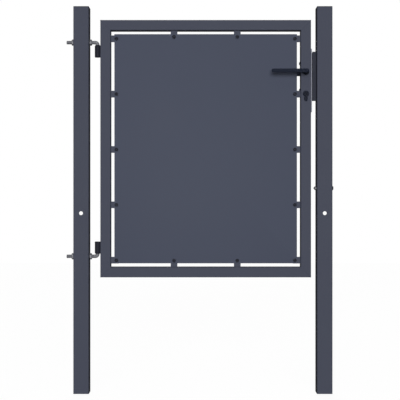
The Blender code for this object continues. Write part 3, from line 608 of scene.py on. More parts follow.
# Polyester powder coat, baked: a satin slate grey whose orange peel softens every reflection.
ANTHRACITE_COAT = Finish("anthracite_powder_coat", "#454956", "#484b59", drift_size=180 * MM,
                         roughness=0.42, grain_size=1.6 * MM, grain_depth=0.012 * MM)
# The same coat on the flat sheet, which flows out smoother. Painted sheen: it is a little lighter and bluer
# than the frame's coat.
SHEET_COAT_WITH_PAINTED_SHEEN = Finish("anthracite_powder_coat_on_sheet", "#464b5a", "#4b5060", drift_size=260 * MM,
                    roughness=0.4, grain_size=2.0 * MM, grain_depth=0.01 * MM)
# A darker graphite coat on folded strip.
GRAPHITE_COAT = Finish("graphite_powder_coat", "#2e313b", "#32343f", roughness=0.4, grain_size=1.4 * MM,
                       grain_depth=0.01 * MM)
# The same coat in black on small castings: deep and satin, with a soft light line along round forms.
BLACK_COAT = Finish("black_powder_coat", "#151b2b", "#181e2e", roughness=0.34, grain_size=1.2 * MM,
                    grain_depth=0.008 * MM)
# Black coat over the mill scale of the hinge barrels: a shade greyer and less even.
BARREL_COAT = Finish("black_powder_coat_on_barrels", "#24252d", "#292a33", roughness=0.38,
                     grain_size=1.2 * MM, grain_depth=0.012 * MM)
# Moulded polyamide with a spark-eroded texture: black without depth, no mirror shapes in it. The real texture
# is about 0.1 mm, and is drawn coarser so that it shows.
BLACK_NYLON = Finish("moulded_black_nylon", "#171c29", "#1a1f2c", roughness=0.5, grain_size=0.7 * MM,
                     grain_depth=0.02 * MM)
# Bright zinc plate over drawn steel: light, cool grey with cloudy patches of duller passivation. Its crystals
# are drawn coarser than they are.
ZINC_PLATE = Finish("bright_zinc_plate", "#b8b9bf", "#9b9ca4", drift_size=6 * MM, roughness=0.3,
                    roughness_more=0.14, metallic=0.6, grain_size=0.8 * MM, grain_depth=0.006 * MM)
# Stainless strip, belt-ground along its length: a milky sheen with fine upright lines. The grit's lines are
# about 0.1 mm apart, and are drawn some three times as far apart so that they show.
SATIN_STEEL = Finish("satin_stainless_steel", "#bcbecb", "#adafbc", drift_size=20 * MM, roughness=0.4,
                     metallic=0.6, grain_size=0.35 * MM, grain_depth=0.006 * MM, stretch=(1.0, 1.0, 40.0))
# Satin nickel over brass: pale and faintly warm. Its blasted grain is drawn coarser than it is.
SATIN_NICKEL = Finish("satin_nickel_plate", "#aaa69c", "#a19d93", drift_size=15 * MM, roughness=0.26,
                      metallic=1.0, grain_size=0.4 * MM, grain_depth=0.004 * MM)
# Black nickel on the lock cylinder: dark metal that still shows its edges.
BLACK_NICKEL = Finish("black_nickel_plate", "#2c303d", "#282c38", drift_size=10 * MM, roughness=0.34,
                      metallic=0.5, grain_size=0.4 * MM, grain_depth=0.004 * MM)
# Black zinc on bolts and screws: charcoal metal, a little uneven, with light on its corners.
BLACK_ZINC = Finish("black_zinc_plate", "#454752", "#3a3b45", drift_size=5 * MM, roughness=0.36,
                    metallic=0.7, grain_size=0.6 * MM, grain_depth=0.008 * MM)


def dress(finish: Finish, nodes: Iterable[str]) -> None:
    """Give nodes of the frame a finish.

    Args:
        finish: The finish.
        nodes: Names of nodes that stay as they are.
    """
    for node in nodes:
        item = frame["nodes"][node]
        material = finish.material()
        if not item.material_slots:
            item.data.materials.append(material)
        for place in item.material_slots:
            place.material = material
        LOG.info("%s: %s", node, finish.name)


# Fasteners


@dataclass(frozen=True)
class Thread:
    """A rolled screw thread.

    Attributes:
        radius: Outer radius.
        pitch: Advance in one turn.
        depth: From crest to root.
        flat: Share of the wave that is flat at the crest, and at the root.
        steps: Rows in one pitch.
    """

    radius: float
    pitch: float
    depth: float
    flat: float = 0.1
    steps: int = 8

    def reach(self, along: Array, turn: Array) -> Array:
        """Distance from the axis: the radius less the depth times a blunted triangle wave along the helix.

        Args:
            along: Distance along the axis, n by 1.
            turn: Angle round it, 1 by sides.

        Returns:
            Radii, n by sides.
        """
        phase = np.mod(along / self.pitch - turn / (2 * np.pi), 1.0)
        wave = np.clip((np.abs(2 * phase - 1) - self.flat) / (1 - 2 * self.flat), 0.0, 1.0)
        return self.radius - self.depth * wave

    def rows(self, length: float, sides: int = 48) -> list[tuple[float, Array]]:
        """Rows of a threaded shank from level 0. Over its last pitch a cone cuts it to just under the root.

        Args:
            length: Of the shank.
            sides: Points round it.

        Returns:
            (level, loop) from 0 to the tip.
        """
        under_root = 1.2
        levels = np.linspace(0.0, length, max(6, int(length / self.pitch * self.steps)))[:, None]
        turn = (np.arange(sides) * 2 * np.pi / sides)[None]
        near_tip = np.clip(1 - (length - levels) / self.pitch, 0, 1)
        reach = np.minimum(self.reach(levels, turn), self.radius - self.depth * near_tip * under_root)
        spokes = np.stack([np.cos(turn), np.sin(turn)], axis=-1)
        return [(float(level[0]), loop) for level, loop in zip(levels, reach[..., None] * spokes)]


def cut_corners(flats: float, chamfer: float) -> list[tuple[float, Array]]:
    """Rows at the end of a hexagon prism whose corners a cone of 30 degrees cuts off.

    At distance d under the face the reach is the corners' less (chamfer - d) / tan 30.

    Args:
        flats: Width across flats.
        chamfer: Height of the cut at the corners.

    Returns:
        (distance under the face, loop) from the whole corners to the face.
    """
    corner = flats / 2 / math.cos(math.pi / 6)
    return [(chamfer * (1 - part), hexagon(flats, corner - chamfer * part / math.tan(math.pi / 6)))
            for part in np.linspace(0.0, 1.0, 6)]


def head_rows(flats: float, height: float, chamfer: float) -> list[tuple[float, Array]]:
    """Rows of a hexagon head, cut at its far face.

    Args:
        flats: Width across flats.
        height: From the bearing face.
        chamfer: Height of the cut at the corners.

    Returns:
        (level, loop) from the bearing face to a small round at the middle of the far one.
    """
    cut = cut_corners(flats, chamfer)
    return [(0.0, hexagon(flats)), *((height - under, loop) for under, loop in cut),
            (height, circle(1.0 * MM))]


def nut_rows(flats: float, height: float, bore: float, chamfer: float) -> list[tuple[float, Array]]:
    """Rows of a hexagon nut, cut at both faces.

    Args:
        flats: Width across flats.
        height: From the bearing face.
        bore: Radius of the hole.
        chamfer: Height of the cut at the corners.

    Returns:
        (level, loop) from the bore at the bearing face to the bore at the far one.
    """
    cut = cut_corners(flats, chamfer)
    return [(0.0, circle(bore)), *reversed(cut), *((height - under, loop) for under, loop in cut),
            (height, circle(bore))]


# The thread of the panel's bolts and of the bolt across the post.
M8 = Thread(4.0 * MM, 1.25 * MM, 0.6 * MM)
M8_CHAMFER = 0.9 * MM


@dataclass(frozen=True)
class DomeHead:
    """A domed head with a hexagon socket.

    Attributes:
        socket: Width across the socket's flats, as a share of the head's width.
        depth: Of the socket, as a share of the head's height.
        rim: How much wider the socket's rim is, as a share of the socket.
        rim_rise: How far the socket's edge is under its rim, as a share of the head's height.
        crown: Radius of the flat round the socket, as a share of the head's radius.
    """

    socket: float = 0.42
    depth: float = 0.55
    rim: float = 0.06
    rim_rise: float = 0.01
    crown: float = 0.36

    def rows(self, radius: float, height: float, shank: float, length: float) -> list[tuple[float, Array]]:
        """Rows from the socket's floor over the dome, which is a quarter of an ellipse, to the shank's end.

        Args:
            radius: Of the head.
            height: Of the head.
            shank: Radius of the shank.
            length: Of the shank.

        Returns:
            (level, loop); the clamped face is level 0 and the head is below it.
        """
        flats = 2 * radius * self.socket
        start = math.asin(self.crown + self.socket / 2)
        crown = -height * math.cos(start)
        dome = [(-height * math.cos(turn), circle(radius * math.sin(turn)))
                for turn in np.linspace(start, np.pi / 2, 12)]
        return [(crown + self.depth * height, hexagon(flats)), (crown, hexagon(flats)),
                (crown - self.rim_rise * height, hexagon(flats * (1 + self.rim))), *dome,
                (0.0, circle(shank)), (length, circle(shank))]


def domed_screw(node: str, name: str, body: str, head: float, shank: float) -> None:
    """Make a domed socket screw along X, whose head looks to the left.

    Args:
        node: The node that it stands for.
        name: Of the piece.
        body: The body it rides on.
        head: Height of its head.
        shank: Radius of its shank.
    """
    old = block(node)
    rows = DomeHead().rows(old.size[1] / 2, head, shank, old.size[0] - head)
    piece(name, [stacked(old.at(x=old.low[0] + head), Way.RIGHT, rows)], BLACK_ZINC, body,
          [node])


def weld_bead(start: Array, end: Array, radius: float, ripple: float, sides: int = 16) -> Skin:
    """A straight weld bead: a round rod with a ripple for each drop of metal, which tapers at its ends.

    The reach at distance s is radius (0.9 + 0.1 |cos(pi s / ripple)|) times the root of a taper that grows
    from 0 to 1 over one radius.

    Args:
        start: One end.
        end: The other end, along X or Z from the first.
        radius: Of the bead.
        ripple: Spacing of its ripples.
        sides: Points round it.

    Returns:
        The surface.
    """
    way = end - start
    length = float(np.linalg.norm(way))
    way = way / length
    along = np.linspace(0.0, length, max(12, int(length / ripple * 6)))
    taper = np.sqrt(np.clip(np.minimum(along, length - along) / radius, 0.02, 1.0))
    reach = radius * (0.9 + 0.1 * np.abs(np.cos(np.pi * along / ripple))) * taper
    path = start + along[:, None] * way
    ahead = np.broadcast_to(way, path.shape)
    return swept(path, ahead, DEPTH_AXIS, np.repeat(reach[:, None], sides, axis=1))


# Sub-assemblies


@dataclass
class Posts:
    """The two square posts with their caps.

    Attributes:
        edge: Rounding of a cap's upper edge.
        crown: How far a cap's middle stands over its edge.
        corner: Corner radius of the post.
        post_wall: From the post's outside to the part of a cap inside it.
        plug_wall: Wall of that part.
        plug_corner: Inner corner radius of that part.
    """

    edge: float = 1.2 * MM
    crown: float = 0.5 * MM
    corner: float = 3.0 * MM
    post_wall: float = 2.3 * MM
    plug_wall: float = 2.0 * MM
    plug_corner: float = 1.0 * MM

    def build(self) -> None:
        """Dress the posts and make both caps."""
        dress(ANTHRACITE_COAT, ("hinge_post", "latch_post"))
        for side in ("hinge", "latch"):
            self.cap(f"{side}_post_cap", block(f"{side}_post"))

    def cap(self, node: str, post: Block) -> None:
        """A moulded cap: a plate with a rounded upper edge and a slight crown, over a hollow plug.

        The crown sinks with the square of the distance from the middle.

        Args:
            node: The cap's node.
            post: The post's box.
        """
        old = block(node)
        width = old.size[0]
        seat, top = post.high[2] + FIT_GAP, old.high[2]
        plug = width - 2 * self.post_wall
        inner = plug - 2 * self.plug_wall
        hollow = rounded_rectangle(inner, inner, self.plug_corner)
        outside = rounded_rectangle(plug, plug, self.corner - self.post_wall)
        rows = [(seat, hollow), (old.low[2], hollow), (old.low[2], outside), (seat, outside),
                (seat, rounded_rectangle(width, width, self.corner))]
        for angle in np.linspace(0.0, np.pi / 2, 6):
            inset = self.edge * (1 - math.cos(angle))
            rows.append((top - self.edge - self.crown + self.edge * math.sin(angle),
                         rounded_rectangle(width - 2 * inset, width - 2 * inset, self.corner - inset)))
        for share in (0.7, 0.4, 0.1):
            side = (width - 2 * self.edge) * share
            rows.append((top - self.crown * share ** 2,
                         rounded_rectangle(side, side, min(self.corner, side / 3))))
        piece(node.replace("_cap", "_end_cap"), [stacked(old.at(z=0.0), Way.UP, rows)], BLACK_NYLON,
              "posts", [node])


@dataclass
class HookHinges:
    """Threaded hook bolts through the hinge post, their nuts, and the barrels welded to the leaf.

    Attributes:
        bend_radius: Of the hook's centre line.
        pitch: Of the rod's thread.
        thread_depth: From crest to root.
        smooth_end: Length without thread before the bend.
        nut_chamfer: Height of the cut at a nut's corners.
        barrel_wall: End wall of the barrel's blind end.
        mouth_chamfer: Of the barrel's open end.
        bead: Radius of the weld beads.
        bead_spread: From the barrel's axis to a bead, as a share of the barrel's radius.
        bead_sunk: From the stile's face to a bead's middle, as a share of the bead's radius.
        bead_short: What a bead leaves of the barrel at each end.
        ripple: Spacing of the weld's ripples.
    """

    bend_radius: float = 10.0 * MM
    pitch: float = 2.0 * MM
    thread_depth: float = 0.75 * MM
    smooth_end: float = 3.0 * MM
    nut_chamfer: float = 1.6 * MM
    barrel_wall: float = 4.0 * MM
    mouth_chamfer: float = 2.5 * MM
    bead: float = 2.4 * MM
    bead_spread: float = 0.62
    bead_sunk: float = 0.35
    bead_short: float = 3.0 * MM
    ripple: float = 1.7 * MM

    def build(self) -> None:
        """Make both hinges."""
        for level in Level:
            self.hook(level)
            self.nuts(level)
            self.barrel(level)
            self.barrel_welds(level)

    def hook(self, level: Level) -> None:
        """A rod carried along a line, a quarter turn and a line; the first line is threaded.

        Args:
            level: Which hinge.
        """
        node = f"{level.word}_hook_bolt"
        old = block(node)
        radius = old.size[1] / 2
        start = old.low[0]
        axis = old.high[0] - radius
        height = old.high[2] - radius if level is Level.UPPER else old.low[2] + radius
        straight = axis - self.bend_radius - start
        curve = self.bend_radius * math.pi / 2
        pin = old.size[2] - radius - self.bend_radius
        thread = Thread(radius, self.pitch, self.thread_depth)
        along = np.concatenate([np.arange(0.0, straight, self.pitch / thread.steps),
                                straight + np.linspace(0.0, curve, 24),
                                straight + curve + np.linspace(pin / 12, pin, 12)])
        bend = np.clip((along - straight) / self.bend_radius, 0.0, np.pi / 2)
        past = np.clip(along - straight - curve, 0.0, None)
        x = start + np.minimum(along, straight) + self.bend_radius * np.sin(bend)
        z = height + level.value * (self.bend_radius * (1 - np.cos(bend)) + past)
        path = np.stack([x, np.full_like(x, old.centre[1]), z], axis=1)
        ahead = np.stack([np.cos(bend), np.zeros_like(bend), level.value * np.sin(bend)], axis=1)
        turn = (np.arange(40) * 2 * np.pi / 40)[None]
        fade = np.clip((straight - self.smooth_end - along) / self.pitch, 0.0, 1.0)[:, None]
        reach = radius - fade * (radius - thread.reach(along[:, None], turn))
        from_end = np.minimum(along, along[-1] - along)[:, None]
        chamfer = self.thread_depth * 1.3
        reach = np.minimum(reach, radius - np.clip(chamfer - from_end, 0.0, None))
        piece(f"{level.word}_hinge_hook", [swept(path, ahead, DEPTH_AXIS, reach)], ZINC_PLATE, "posts",
              [node])

    def nuts(self, level: Level) -> None:
        """The nuts either side of the post, chamfered on both faces.

        Args:
            level: Which hinge.
        """
        radius = block(f"{level.word}_hook_bolt").size[1] / 2
        for side, way in (("outer", Way.LEFT), ("inner", Way.RIGHT)):
            node = f"{level.word}_hinge_nut_{side}"
            old = block(node)
            face = old.at(x=old.high[0] if way is Way.LEFT else old.low[0])
            rows = nut_rows(old.size[1], old.size[0], radius, self.nut_chamfer)
            piece(f"{level.word}_{side}_nut", [stacked(face, way, rows, joined=True)], ZINC_PLATE, "posts",
                  [node])

    def barrel(self, level: Level) -> None:
        """A turned barrel with a bore and a chamfered mouth, towards the hook's rod.

        Args:
            level: Which hinge.
        """
        node = f"{level.word}_hinge_barrel"
        old = block(node)
        radius, length = old.size[0] / 2, old.size[2]
        bore = block(f"{level.word}_hook_bolt").size[1] / 2 + FIT_GAP
        way, mouth = (Way.DOWN, old.high[2]) if level is Level.UPPER else (Way.UP, old.low[2])
        profile = filleted([(length - self.barrel_wall, bore, 0.0), (0.0, bore, 0.3 * MM),
                            (0.0, radius - self.mouth_chamfer, 0.5 * MM),
                            (self.mouth_chamfer, radius, 1.5 * MM), (length, radius, 1.0 * MM),
                            (length, radius / 8, 0.0)])
        piece(f"{level.word}_barrel", [turned(old.at(z=mouth), way, profile, sides=64)], BARREL_COAT,
              "leaf", [node])

    def barrel_welds(self, level: Level) -> None:
        """The two weld beads between a barrel and the stile.

        Args:
            level: Which hinge.
        """
        old = block(f"{level.word}_hinge_barrel")
        x = block("hinge_stile").low[0] - self.bead * self.bead_sunk
        spread = old.size[0] / 2 * self.bead_spread
        low, high = old.low[2] + self.bead_short, old.high[2] - self.bead_short
        beads = [weld_bead(np.array([x, y, low]), np.array([x, y, high]), self.bead, self.ripple)
                 for y in (-spread, spread)]
        piece(f"{level.word}_barrel_welds", beads, BARREL_COAT, "leaf")


@dataclass
class Leaf:
    """The mitred frame, its corner welds, its tabs' welds and the sheet panel with its bolts.

    Attributes:
        tube: Width of the frame's tube.
        tube_corner: Its corner radius.
        seam: Half width of a corner weld, dressed nearly flush.
        seam_rise: How far it stands over the tube.
        tab: Thickness of a tab.
        tab_width: Along the tube.
        tab_bead: Radius of a tab's weld.
        tab_bead_out: From a tab's face to a bead's middle, as a share of the bead's radius.
        tab_ripple: Spacing of the bead's ripples.
        sheet_edge: Rounding of the sheet's edges.
        sheet_corner: Radius of the sheet's corners.
        head: Height of a panel bolt's head.
        nut: Height of its nut.
        nut_bore: Radius of the nut's hole, inside the thread.
        tip: Length of thread past the nut.
        bolts: How many bolts hold the panel.
        stile_bolts: How many of them are on each stile. They come first, hinge stile before lock stile.
        low: The frame's lowest corner.
        high: The frame's highest corner.
    """

    tube: float = 40.0 * MM
    tube_corner: float = 3.0 * MM
    seam: float = 2.6 * MM
    seam_rise: float = 0.25 * MM
    tab: float = 4.0 * MM
    tab_width: float = 26.0 * MM
    tab_bead: float = 1.3 * MM
    tab_bead_out: float = 0.2
    tab_ripple: float = 1.4 * MM
    sheet_edge: float = 0.6 * MM
    sheet_corner: float = 1.2 * MM
    head: float = 5.3 * MM
    nut: float = 6.5 * MM
    nut_bore: float = 3.8 * MM
    tip: float = 2.0 * MM
    bolts: int = 14
    stile_bolts: int = 5
    low: Array = field(init=False)
    high: Array = field(init=False)

    def __post_init__(self) -> None:
        """Find the frame's outer corners."""
        self.low = np.minimum(block("hinge_stile").low, block("bottom_rail").low)
        self.high = np.maximum(block("lock_stile").high, block("top_rail").high)

    def build(self) -> None:
        """Dress the frame and make its welds, the panel and the bolts."""
        dress(ANTHRACITE_COAT, ("hinge_stile", "lock_stile", "top_rail", "bottom_rail"))
        self.corner_welds()
        self.tab_welds()
        self.panel()
        for number in range(1, self.bolts + 1):
            self.bolt(f"panel_bolt_{number:02d}")

    def corner_welds(self) -> None:
        """A flat seam round each mitre.

        The tube's outline (u, v) meets the mitre at corner + u (sx, 0, sz) + v Y. Across it the seam is a
        lens: half an ellipse above the tube, and its mirror image below. It narrows towards the frame's outer
        corner, to root 2 times (what is left of u, and the seam's rise), and it sinks with the tube's round
        edges, so that it stays on the tube.
        """
        outline = rounded_rectangle(self.tube, self.tube, self.tube_corner)
        edge = np.roll(outline, -1, axis=0) - np.roll(outline, 1, axis=0)
        half = self.tube / 2
        turn = np.arange(16) * 2 * np.pi / 16
        along, level = outline[:, :1], outline[:, 1:]
        spread = np.minimum(self.seam, math.sqrt(2) * (half - along + self.seam_rise)) * np.cos(turn)
        sink = self.edge_drop(along + np.abs(spread) / math.sqrt(2)) - self.edge_drop(along)
        for name, sx, sz in (("top_left", -1, 1), ("top_right", 1, 1), ("bottom_left", -1, -1),
                             ("bottom_right", 1, -1)):
            corner = np.array([(self.high if sx > 0 else self.low)[0] - sx * half, 0.0,
                               (self.high if sz > 0 else self.low)[2] - sz * half])
            diagonal = np.array([sx, 0.0, sz])
            across = np.array([sx, 0.0, -sz]) / math.sqrt(2)
            path = corner + along * diagonal + level * DEPTH_AXIS
            normal = edge[:, 1:] * diagonal - edge[:, :1] * DEPTH_AXIS
            normal /= np.linalg.norm(normal, axis=1, keepdims=True)
            points = (path[:, None] + spread[..., None] * across
                      - (np.sign(level) * sink)[..., None] * DEPTH_AXIS
                      + self.seam_rise * np.sin(turn)[None, :, None] * normal[:, None])
            piece(f"{name}_corner_weld", [Skin(points, joined=True)], ANTHRACITE_COAT, "leaf")

    def edge_drop(self, off_middle: Array) -> Array:
        """How far the tube's face has sunk at a distance from its middle line: a quarter circle at its edge.

        Args:
            off_middle: Distance from the face's middle line, of either sign.

        Returns:
            The drop: corner - root (corner^2 - past^2), where past is how far it lies past the flat part.
        """
        flat = self.tube / 2 - self.tube_corner
        past = np.clip(np.abs(off_middle) - flat, 0.0, self.tube_corner)
        return self.tube_corner - np.sqrt(self.tube_corner ** 2 - past ** 2)

    def tube_of(self, number: int, spot: Array) -> str:
        """The tube that a bolt's tab is welded to.

        Args:
            number: Of the bolt, from 1.
            spot: Its place.

        Returns:
            The tube's node.
        """
        if number <= self.stile_bolts:
            return "hinge_stile"
        if number <= 2 * self.stile_bolts:
            return "lock_stile"
        return "top_rail" if spot[2] > (self.low[2] + self.high[2]) / 2 else "bottom_rail"

    def tab_welds(self) -> None:
        """Beads where the tabs meet their tubes, in front and behind, worked out from the bolts' places."""
        inner_low, inner_high = self.low + self.tube, self.high - self.tube
        roots = {"hinge_stile": inner_low[0], "lock_stile": inner_high[0],
                 "top_rail": inner_high[2], "bottom_rail": inner_low[2]}
        beads: dict[str, list[Skin]] = {tube: [] for tube in roots}
        out = self.tab_bead * self.tab_bead_out
        front = block("panel").high[1] + FIT_GAP
        reach = self.tab_width / 2 - self.tab_bead
        for number in range(1, self.bolts + 1):
            spot = block(f"panel_bolt_{number:02d}").centre
            tube = self.tube_of(number, spot)
            for y in (front - out, front + self.tab + out):
                if tube.endswith("stile"):
                    ends = [np.array([roots[tube], y, spot[2] + side * reach]) for side in (-1, 1)]
                else:
                    ends = [np.array([spot[0] + side * reach, y, roots[tube]]) for side in (-1, 1)]
                beads[tube].append(weld_bead(*ends, self.tab_bead, self.tab_ripple, sides=12))
        for tube, skins in beads.items():
            piece(f"{tube}_tab_welds", skins, ANTHRACITE_COAT, "leaf")

    def panel(self) -> None:
        """The sheet, with its sheared edges rounded by the coat."""
        old = block("panel")
        rows = [(level, rounded_rectangle(old.size[0] - 2 * inset, old.size[2] - 2 * inset,
                                          self.sheet_corner - inset))
                for level, inset in eased(old.low[1], old.high[1], self.sheet_edge)]
        # The sheet's coat carries a painted sheen: it is a little lighter and bluer than the frame's.
        piece("sheet_panel", [slab(old.at(y=0.0), rows)], SHEET_COAT_WITH_PAINTED_SHEEN, "leaf", ["panel"])

    def bolt(self, node: str) -> None:
        """A hexagon bolt from the front with its nut behind the tab.

        Args:
            node: The bolt's node.
        """
        old = block(node)
        flats = old.size[2]
        clamp = old.at(y=old.low[1] + self.head)
        behind = old.at(y=old.high[1] - self.tip - self.nut)
        head = stacked(clamp, Way.FRONT, head_rows(flats, self.head, M8_CHAMFER))
        nut = stacked(behind, Way.REAR, nut_rows(flats, self.nut, self.nut_bore, M8_CHAMFER), joined=True)
        shank = stacked(clamp, Way.REAR, M8.rows(old.high[1] - clamp[1]))
        piece(node.replace("panel_bolt", "panel_screw"), [quarter_turned(head), quarter_turned(nut), shank],
              BLACK_ZINC, "leaf", [node], sharp_deg=25.0)


def quarter_turned(skin: Skin) -> Skin:
    """Turn a hexagon that faces the viewer a quarter about its own axis, so its corners are left and right.

    Args:
        skin: A shape about an axis along Y.

    Returns:
        The turned shape.
    """
    middle = skin.points.mean(axis=(0, 1))
    x = skin.points[..., 0] - middle[0]
    z = skin.points[..., 2] - middle[2]
    return Skin(np.stack([middle[0] + z, skin.points[..., 1], middle[2] - x], axis=-1), skin.joined)


@dataclass
class Lock:
    """Levers, rosettes, escutcheons, forend and what shows of the lock's inside.

    Attributes:
        lever_radius: Half the bar's height.
        bar: Thickness of the bar.
        bar_edge: Rounding of its edges.
        neck: Radius of the neck.
        neck_taper: How much thinner the neck is where it starts to flare.
        flare: Length of the flare, from the neck to the bar.
        into_bar: How far the neck runs into the bar.
        rosette_edge: Rounding of the rosette.
        shield: Circle radius, tail width and height of an escutcheon.
        shield_edge: Rounding of its edge.
        window: Circle radius, tail width and height of the cylinder's profile.
        dome_head: Height of a domed bolt's head.
        dome_shank: Radius of its shank.
    """

    lever_radius: float = 7.5 * MM
    bar: float = 10.0 * MM
    bar_edge: float = 3.2 * MM
    neck: float = 9.0 * MM
    neck_taper: float = 1.2 * MM
    flare: float = 3.0 * MM
    into_bar: float = 2.2 * MM
    rosette_edge: float = 1.8 * MM
    shield: tuple[float, float, float] = (11.75 * MM, 13.5 * MM, 41.0 * MM)
    shield_edge: float = 1.6 * MM
    window: tuple[float, float, float] = (8.5 * MM, 10.0 * MM, 33.0 * MM)
    dome_head: float = 5.0 * MM
    dome_shank: float = 3.0 * MM

    def build(self) -> None:
        """Dress the lock's nodes and make the rest."""
        dress(SATIN_STEEL, ("lock_forend",))
        dress(SATIN_NICKEL, ("latch_bolt", "dead_bolt"))
        dress(BLACK_NICKEL, ("cylinder_body", "cylinder_plug"))
        dress(ZINC_PLATE, ("lock_case", "lock_case_cover", "follower", "spindle", "cylinder_cam",
                           "forend_screw_upper", "forend_screw_lower", "cylinder_screw"))
        for side in Face:
            self.lever(side)
            self.rosette(side)
            self.escutcheon(side)
        for name in ("upper", "lower"):
            domed_screw(f"lock_dome_bolt_{name}", f"lock_fixing_{name}", "leaf", self.dome_head,
                        self.dome_shank)

    def lever(self, side: Face) -> None:
        """A flat bar with round ends and soft edges, on a neck that flares into it.

        Args:
            side: Of the leaf.
        """
        node = f"{side.word}_lever"
        old = block(node)
        axis = pivot("lever_press")
        base, tip = side.ends(old)
        near = tip - side.value * self.bar
        length = old.size[0] - 2 * self.lever_radius
        rows = [(level, stadium(length, self.lever_radius - inset))
                for level, inset in eased(near, tip, self.bar_edge, steps=8)]
        bar = slab(np.array([old.high[0] - self.lever_radius, 0.0, axis[2]]), rows)
        rise = abs(near - base)
        profile = filleted([(0.0, self.neck * 0.5, 0.0), (0.0, self.neck, 0.3 * MM),
                            (rise - self.flare, self.neck - self.neck_taper, 8 * MM),
                            (rise + self.into_bar, self.lever_radius - 0.4 * MM, 0.0),
                            (rise + self.into_bar + 0.2 * MM, self.neck * 0.3, 0.0)], steps=10)
        neck = turned(np.array([axis[0], base, axis[2]]), side.way, profile)
        piece(f"{side.word}_handle", [bar, neck], BLACK_COAT, "handle", [node])

    def rosette(self, side: Face) -> None:
        """A moulded ring round the neck, with a rounded rim.

        Args:
            side: Of the leaf.
        """
        node = f"{side.word}_rosette"
        old = block(node)
        radius, height = old.size[0] / 2, old.size[1]
        bore = self.neck + FIT_GAP
        profile = filleted([(0.0, bore, 0.0), (0.0, radius, 0.2 * MM), (height, radius, self.rosette_edge),
                            (height, bore, 0.5 * MM)], closed=True)
        base = old.at(y=side.ends(old)[0])
        piece(f"{side.word}_rose", [turned(base, side.way, profile, joined=True)], BLACK_NYLON, "leaf",
              [node])

    def escutcheon(self, side: Face) -> None:
        """A shield round the cylinder, with a rounded edge, open where the cylinder comes through.

        Args:
            side: Of the leaf.
        """
        node = f"{side.word}_escutcheon"
        base, face = side.ends(block(node))
        rounded = [(level, keyhole(*self.shield, grow=-inset))
                   for level, inset in eased(base, face, self.shield_edge, steps=6)]
        # The back edge lies on the leaf, so only the end of its rounding is kept.
        back_edge = 4
        window = keyhole(*self.window, grow=FIT_GAP)
        skin = slab(pivot("key_turn") * np.array([1.0, 0.0, 1.0]),
                    [(base, window), *rounded[back_edge:], (face, window)])
        skin.joined = True
        piece(f"{side.word}_shield", [skin], BLACK_COAT, "leaf", [node])


@dataclass
class Keep:
    """The channel that the latch shuts into, its screws, and the bolt across the latch post.

    Attributes:
        web: Thickness of the channel's web.
        flange: Thickness of its flanges.
        bend: Outer radius of its bends.
        inner_bend: Inner radius of its bends.
        small: Rounding of its edges.
        screw_head: Height of a screw's head.
        screw_shank: Radius of its shank.
        bolt_head: Height of the cross bolt's head.
        bolt_chamfer: Height of the cut at the head's corners.
        nut_bore: Radius of the hole in the bolt's nut, inside the thread.
    """

    web: float = 2.0 * MM
    flange: float = 2.5 * MM
    bend: float = 2.6 * MM
    inner_bend: float = 0.4 * MM
    small: float = 0.5 * MM
    screw_head: float = 2.2 * MM
    screw_shank: float = 2.5 * MM
    bolt_head: float = 6.2 * MM
    bolt_chamfer: float = 1.0 * MM
    nut_bore: float = 3.9 * MM

    def build(self) -> None:
        """Make the keep and its fixings."""
        self.channel()
        for name in ("upper", "lower"):
            domed_screw(f"keep_screw_{name}", f"keep_fixing_{name}", "posts", self.screw_head,
                        self.screw_shank)
        self.cross_bolt()

    def channel(self) -> None:
        """A bent strip: a channel's outline with round bends and edges, carried up."""
        old = block("keep_channel")
        wide, deep = old.size[1] / 2, old.size[0]
        inner = wide - self.flange
        outline = filleted([(0.0, -wide, self.small), (deep, -wide, self.bend), (deep, wide, self.bend),
                            (0.0, wide, self.small), (0.0, inner, self.small),
                            (deep - self.web, inner, self.inner_bend),
                            (deep - self.web, -inner, self.inner_bend), (0.0, -inner, self.small)],
                           closed=True)
        origin = np.array([old.low[0], 0.0, old.low[2]])
        skin = stacked(origin, Way.UP, [(0.0, outline), (old.size[2], outline)])
        piece("keep_strip", [skin], GRAPHITE_COAT, "posts", ["keep_channel"])

    def cross_bolt(self) -> None:
        """A hexagon bolt from outside, and its nut with the end of the thread towards the leaf."""
        old, nut = block("cross_bolt"), block("cross_bolt_nut")
        flats = nut.size[1]
        clamp = old.at(x=old.high[0] - self.bolt_head)
        head = stacked(clamp, Way.RIGHT, head_rows(flats, self.bolt_head, self.bolt_chamfer))
        shank = stacked(clamp, Way.LEFT, M8.rows(clamp[0] - old.low[0]))
        piece("post_bolt", [head, shank], BLACK_ZINC, "posts", ["cross_bolt"], sharp_deg=25.0)
        rows = nut_rows(flats, nut.size[0], self.nut_bore, M8_CHAMFER)
        piece("post_bolt_nut", [stacked(nut.at(x=nut.high[0]), Way.LEFT, rows, joined=True)], ZINC_PLATE,
              "posts", ["cross_bolt_nut"], sharp_deg=25.0)


# Studio


